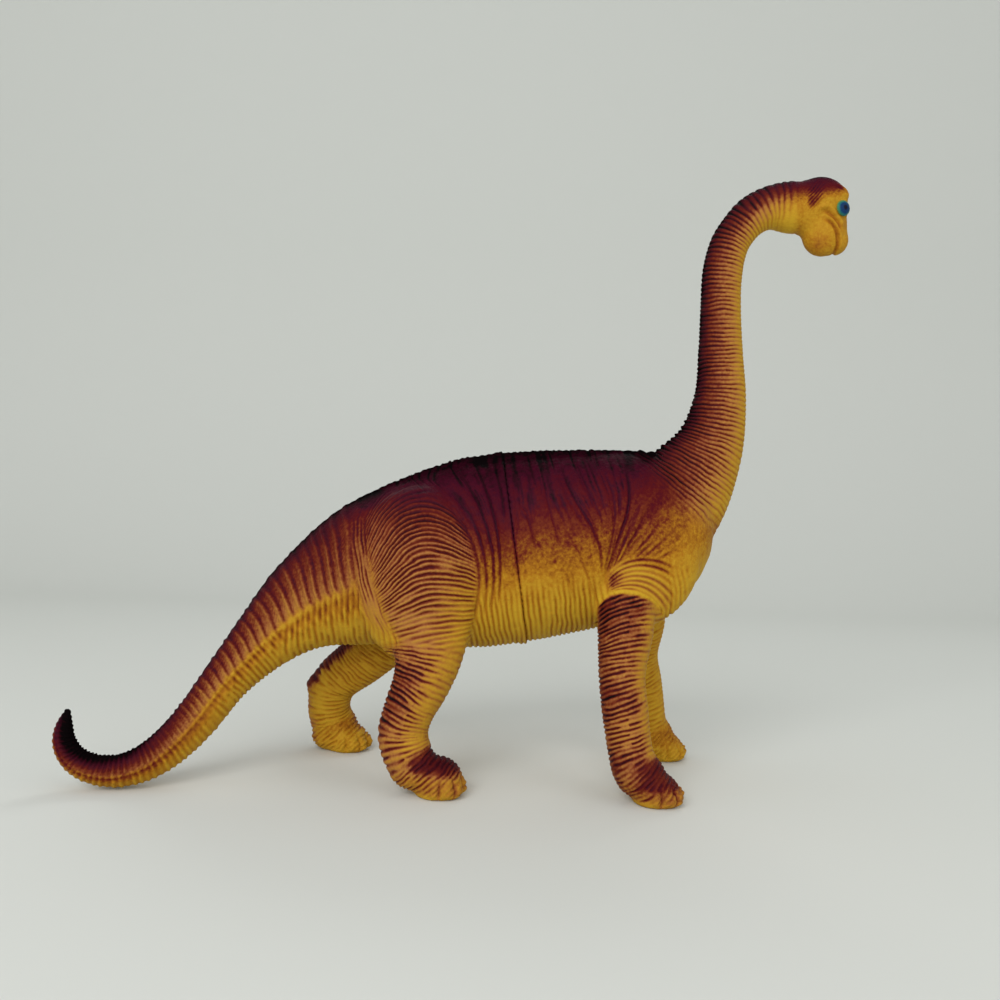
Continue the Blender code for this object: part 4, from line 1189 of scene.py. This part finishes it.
def sprayed_vinyl(name):
    """Satin vinyl with soft-edged coats of spray, darker in the grooves from pooled paint and from painted
    shade.
    """
    material, tree = new_material(name)
    place = add_node(tree, "ShaderNodeTexCoord").outputs["Object"]
    paint_here, groove_paint_and_shade_here, rosy_here = (
        add_node(tree, "ShaderNodeAttribute", {"attribute_name": kept}).outputs["Fac"]
        for kept in ("paint", "groove_paint_and_shade", "rosy")
    )
    grain = {"Vector": place, "Scale": DROPLETS_PER_METRE, "Detail": 3.0, "Roughness": 0.6}
    droplets = add_node(tree, "ShaderNodeTexNoise", inputs=grain).outputs["Fac"]
    patches = {"Vector": place, "Scale": BLOTCHES_PER_METRE, "Detail": 2.0}
    blotches = add_node(tree, "ShaderNodeTexNoise", inputs=patches).outputs["Fac"]

    # Speckles are few on bare yellow, most on a thin coat, and fewer on rosy and on thick coats.
    span = {"Value": paint_here, "From Min": 0.05, "From Max": 0.30, "To Min": 0.05, "To Max": 0.52}
    thin = add_node(tree, "ShaderNodeMapRange", inputs=span).outputs["Result"]
    span = {"Value": rosy_here, "To Min": 1.0, "To Max": 0.65}
    calm = add_node(tree, "ShaderNodeMapRange", inputs=span).outputs["Result"]
    span = {"Value": paint_here, "From Min": 0.46, "From Max": 0.66, "To Min": 1.0, "To Max": 0.35}
    thick = add_node(tree, "ShaderNodeMapRange", inputs=span).outputs["Result"]
    thin = add_node(tree, "ShaderNodeMath", {"operation": "MULTIPLY"}, {0: thin, 1: calm}).outputs[0]
    thin = add_node(tree, "ShaderNodeMath", {"operation": "MULTIPLY"}, {0: thin, 1: thick}).outputs[0]
    centred = add_node(tree, "ShaderNodeMath", {"operation": "SUBTRACT"}, {0: droplets, 1: 0.5}).outputs[0]
    speckle = add_node(tree, "ShaderNodeMath", {"operation": "MULTIPLY"}, {0: centred, 1: thin}).outputs[0]

    # The grooves are darker, partly from paint pooled in them and partly as painted shade, and the coat is
    # blotchy; both shift the place on the ramps.
    add_up = {"operation": "MULTIPLY_ADD"}
    pooled_paint_and_shade = add_node(tree, "ShaderNodeMath", add_up, {0: groove_paint_and_shade_here, 1: 0.54, 2: paint_here}).outputs[0]
    uneven = add_node(tree, "ShaderNodeMath", add_up, {0: blotches, 1: 0.10, 2: pooled_paint_and_shade}).outputs[0]
    level = add_node(tree, "ShaderNodeMath", {"operation": "SUBTRACT"}, {0: uneven, 1: 0.05}).outputs[0]
    clamped = {"operation": "ADD", "use_clamp": True}
    amount = add_node(tree, "ShaderNodeMath", clamped, {0: level, 1: speckle}).outputs[0]
    trunk = sprayed_colours(tree, amount, TRUNK_COATS)
    limbs = sprayed_colours(tree, amount, LIMB_COATS)
    mixed = {"Factor": rosy_here, "A": trunk, "B": limbs}
    colour = add_node(tree, "ShaderNodeMix", {"data_type": "RGBA"}, mixed).outputs["Result"]

    dots = {"Height": droplets, "Strength": 0.6, "Distance": DROPLET_HEIGHT}
    bump = add_node(tree, "ShaderNodeBump", inputs=dots).outputs["Normal"]
    span = {"Value": droplets, "To Min": 0.50, "To Max": 0.64}
    roughness = add_node(tree, "ShaderNodeMapRange", inputs=span).outputs["Result"]
    span = {"Value": paint_here, "From Min": 0.70, "From Max": 0.92, "To Min": 0.05, "To Max": 0.0}
    shine = add_node(tree, "ShaderNodeMapRange", inputs=span).outputs["Result"]
    finish = {"Base Color": colour, "Roughness": roughness, "IOR": 1.53, "Specular IOR Level": shine}
    surface = add_node(tree, "ShaderNodeBsdfPrincipled", inputs={**finish, "Normal": bump})
    add_node(tree, "ShaderNodeOutputMaterial", inputs={"Surface": surface.outputs["BSDF"]})
    return material


for half, name in ((front, "front_sprayed_vinyl"), (rear, "rear_sprayed_vinyl")):
    half.data.materials.clear()
    half.data.materials.append(sprayed_vinyl(name))
print("materials:", front.data.materials[0].name, rear.data.materials[0].name)

# %% [markdown]
# ## Eyes
#
# Each eye is a low dome of enamel: a green rim, a blue iris and a nearly black pupil, painted one
# inside the other. A sphere is cut to a cap, flattened and turned to look forward and out, and an
# attribute with the distance from the middle of the eye carries the rings.

# %% Shape the eyes
EYE_RADIUS = 2.6
EYE_CUT = 0.15  # the share of the radius where the sphere is cut to a cap
EYE_FLATTENING = 0.55
EYE_TURN = 22.0  # degrees from straight out towards the snout
EYE_PLACE = (116.5, 4.6, 187.0)  # ahead, out from the middle and up
EYE_RAISED = 2.15  # how far the middle of the sphere stands out from there


def eye(name, side):
    """One dome of paint on the head, on the right (-1) or the left (1)."""
    deselect()
    bpy.ops.mesh.primitive_uv_sphere_add(segments=64, ring_count=48, radius=EYE_RADIUS * MM)
    thing = bpy.context.object
    thing.name = thing.data.name = name
    bpy.ops.object.mode_set(mode="EDIT")
    bpy.ops.mesh.select_all(action="SELECT")
    cut = (0, 0, EYE_CUT * EYE_RADIUS * MM)
    bpy.ops.mesh.bisect(plane_co=cut, plane_no=(0, 0, 1), clear_inner=True, use_fill=True)
    bpy.ops.object.mode_set(mode="OBJECT")
    dome = read_points(thing)[0]
    across, upright = dome[:, 0], dome[:, 1]
    squeeze = np.where(upright < 0, 0.92, 1.12)  # the rings reach lower than they rise
    from_middle = np.hypot(across, upright * squeeze) / EYE_RADIUS
    ring = thing.data.attributes.new("ring", "FLOAT", "POINT")
    ring.data.foreach_set("value", from_middle.astype(np.float32))
    dome[:, 2] *= EYE_FLATTENING
    write_points(thing, dome)
    angle = math.radians(EYE_TURN)
    out = Vector((math.sin(angle), side * math.cos(angle), 0.02)).normalized()
    up = Vector((0, 0, 1)) - out * out.z
    up.normalize()
    turn = Matrix((up.cross(out), up, out)).transposed().to_4x4()
    seat = Vector((EYE_PLACE[0], MIDDLE + side * EYE_PLACE[1], EYE_PLACE[2])) + out * EYE_RAISED
    thing.matrix_world = Matrix.Translation(seat * MM) @ turn
    pick(thing)
    bpy.ops.object.transform_apply(location=True, rotation=True, scale=True)
    bpy.ops.object.shade_smooth()
    return thing


eyes = [eye("right_eye", -1), eye("left_eye", 1)]
for piece in eyes:
    low, high = ([round(c / MM, 1) for c in piece.bound_box[corner]] for corner in (0, 6))
    print(piece.name, low, high)

# %% Brushed enamel for the eyes: smoother than the vinyl, with rings that wander like brush strokes
EYE_RINGS = (
    (0.00, "050818"),
    (0.26, "080E26"),
    (0.32, "0A2A50"),
    (0.66, "0B3259"),
    (0.76, "175560"),
    (0.89, "2F6B50"),
    (1.00, "657A34"),
)
STROKES_PER_METRE = 900.0  # about 1 mm each
material, tree = new_material("eye_enamel")
ring_here = add_node(tree, "ShaderNodeAttribute", {"attribute_name": "ring"}).outputs["Fac"]
place = add_node(tree, "ShaderNodeTexCoord").outputs["Object"]
strokes = {"Vector": place, "Scale": STROKES_PER_METRE, "Detail": 2.0}
brush = add_node(tree, "ShaderNodeTexNoise", inputs=strokes).outputs["Fac"]
add_up = {"operation": "MULTIPLY_ADD"}
wander = add_node(tree, "ShaderNodeMath", add_up, {0: brush, 1: 0.16, 2: ring_here}).outputs[0]
ring_place = add_node(tree, "ShaderNodeMath", {"operation": "SUBTRACT"}, {0: wander, 1: 0.08}).outputs[0]
rings = sprayed_colours(tree, ring_place, EYE_RINGS)
coated = {"Base Color": rings, "Roughness": 0.38, "IOR": 1.5, "Specular IOR Level": 0.12}
enamel = add_node(tree, "ShaderNodeBsdfPrincipled", inputs=coated)
add_node(tree, "ShaderNodeOutputMaterial", inputs={"Surface": enamel.outputs["BSDF"]})
for piece in eyes:
    piece.data.materials.append(material)
print("eye material:", material.name)

# %% [markdown]
# ## Floor, light and camera
#
# The toy stands on a pale sheet that curves up behind it, as in a photographer's studio. Large
# soft lamps keep the colours as they are written. The camera looks at the side of the toy from
# close by, and it is rolled by under two degrees.

# %% Floor and backdrop: matt paper, which shows no highlight
SHEET_HALF_WIDTH, SHEET_FRONT, SHEET_TOP = 1600, -1500, 1500
BEND_START, BEND_RADIUS, BEND_STEPS = 500, 400, 24
deselect()
bpy.ops.mesh.primitive_plane_add(size=1.0)
sheet = bpy.context.object
sheet.name = sheet.data.name = "studio_sheet"
for vert in sheet.data.vertices:
    depth = BEND_START if vert.co.y > 0 else SHEET_FRONT
    vert.co = Vector((2 * vert.co.x * SHEET_HALF_WIDTH, depth, 0)) * MM
bpy.ops.object.mode_set(mode="EDIT")
bpy.ops.mesh.select_mode(type="EDGE")
bpy.ops.mesh.select_all(action="DESELECT")
for edge in bmesh.from_edit_mesh(sheet.data).edges:
    edge.select = all(v.co.y > 0 for v in edge.verts)
angles = [math.pi / 2 * step / BEND_STEPS for step in range(BEND_STEPS + 1)]
for before, after in zip(angles[:-1], angles[1:]):
    back, rise = math.sin(after) - math.sin(before), math.cos(before) - math.cos(after)
    shift = Vector((0, back, rise)) * BEND_RADIUS * MM
    bpy.ops.mesh.extrude_region_move(TRANSFORM_OT_translate={"value": shift})
bpy.ops.mesh.extrude_region_move(TRANSFORM_OT_translate={"value": Vector((0, 0, SHEET_TOP)) * MM})
bpy.ops.mesh.select_all(action="SELECT")
bpy.ops.mesh.normals_make_consistent(inside=False)
bpy.ops.object.mode_set(mode="OBJECT")
bpy.ops.object.shade_smooth()
material, tree = new_material("matt_paper")
matt = {"Base Color": linear("D1D3CF"), "Roughness": 0.9, "Specular IOR Level": 0.1}
paper = add_node(tree, "ShaderNodeBsdfPrincipled", inputs=matt)
add_node(tree, "ShaderNodeOutputMaterial", inputs={"Surface": paper.outputs["BSDF"]})
sheet.data.materials.append(material)
print("sheet faces:", len(sheet.data.polygons))


# %% Lamps and world
AIM = (0, 0, 90)


def soft_lamp(name, place, width, watts, beam=180):
    """A round lamp aimed at the middle of the toy; the beam is in degrees."""
    deselect()
    bpy.ops.object.light_add(type="AREA", location=Vector(place) * MM)
    lamp = bpy.context.object
    lamp.name = name
    lamp.data.shape = "DISK"
    lamp.data.size = width * MM
    lamp.data.energy = watts
    lamp.data.spread = math.radians(beam)
    lamp.rotation_euler = (Vector(AIM) - Vector(place)).to_track_quat("-Z", "Y").to_euler()


soft_lamp("key_lamp", (-450, -1050, 720), 700, 7.5)
soft_lamp("fill_lamp", (900, -900, 500), 900, 1.8)
soft_lamp("low_lamp", (-50, -1300, 430), 600, 4.4)
soft_lamp("back_lamp", (200, 900, 700), 700, 1.2, beam=100)
world = bpy.data.worlds.new("soft_room")
bpy.context.scene.world = world
world.use_nodes = True
background = world.node_tree.nodes["Background"].inputs
background["Color"].default_value = linear("FCFEFB")
background["Strength"].default_value = 0.62

# %% Camera
ROLL = math.radians(1.7)
CAMERA_PLACE = (9.7, -329, 89.8)
camera_data = bpy.data.cameras.new("camera")
camera_data.sensor_width = camera_data.lens = 36.0
camera_data.clip_start, camera_data.clip_end = 0.01, 20.0
camera = bpy.data.objects.new("camera", camera_data)
bpy.context.collection.objects.link(camera)
sine, cosine = math.sin(ROLL), math.cos(ROLL)
turned = Matrix(((cosine, -sine, 0, 0), (0, 0, -1, 0), (sine, cosine, 0, 0), (0, 0, 0, 1)))
camera.matrix_world = Matrix.Translation(Vector(CAMERA_PLACE) * MM) @ turned
bpy.context.scene.camera = camera
bpy.context.scene.view_settings.view_transform = "Standard"
print("camera at", CAMERA_PLACE, "mm")

# %% Tie the pieces to the frame and hide the shells from model.glb
for piece in (front, rear, *eyes):
    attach(piece, "root")
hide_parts("front_shell")
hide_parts("rear_shell")
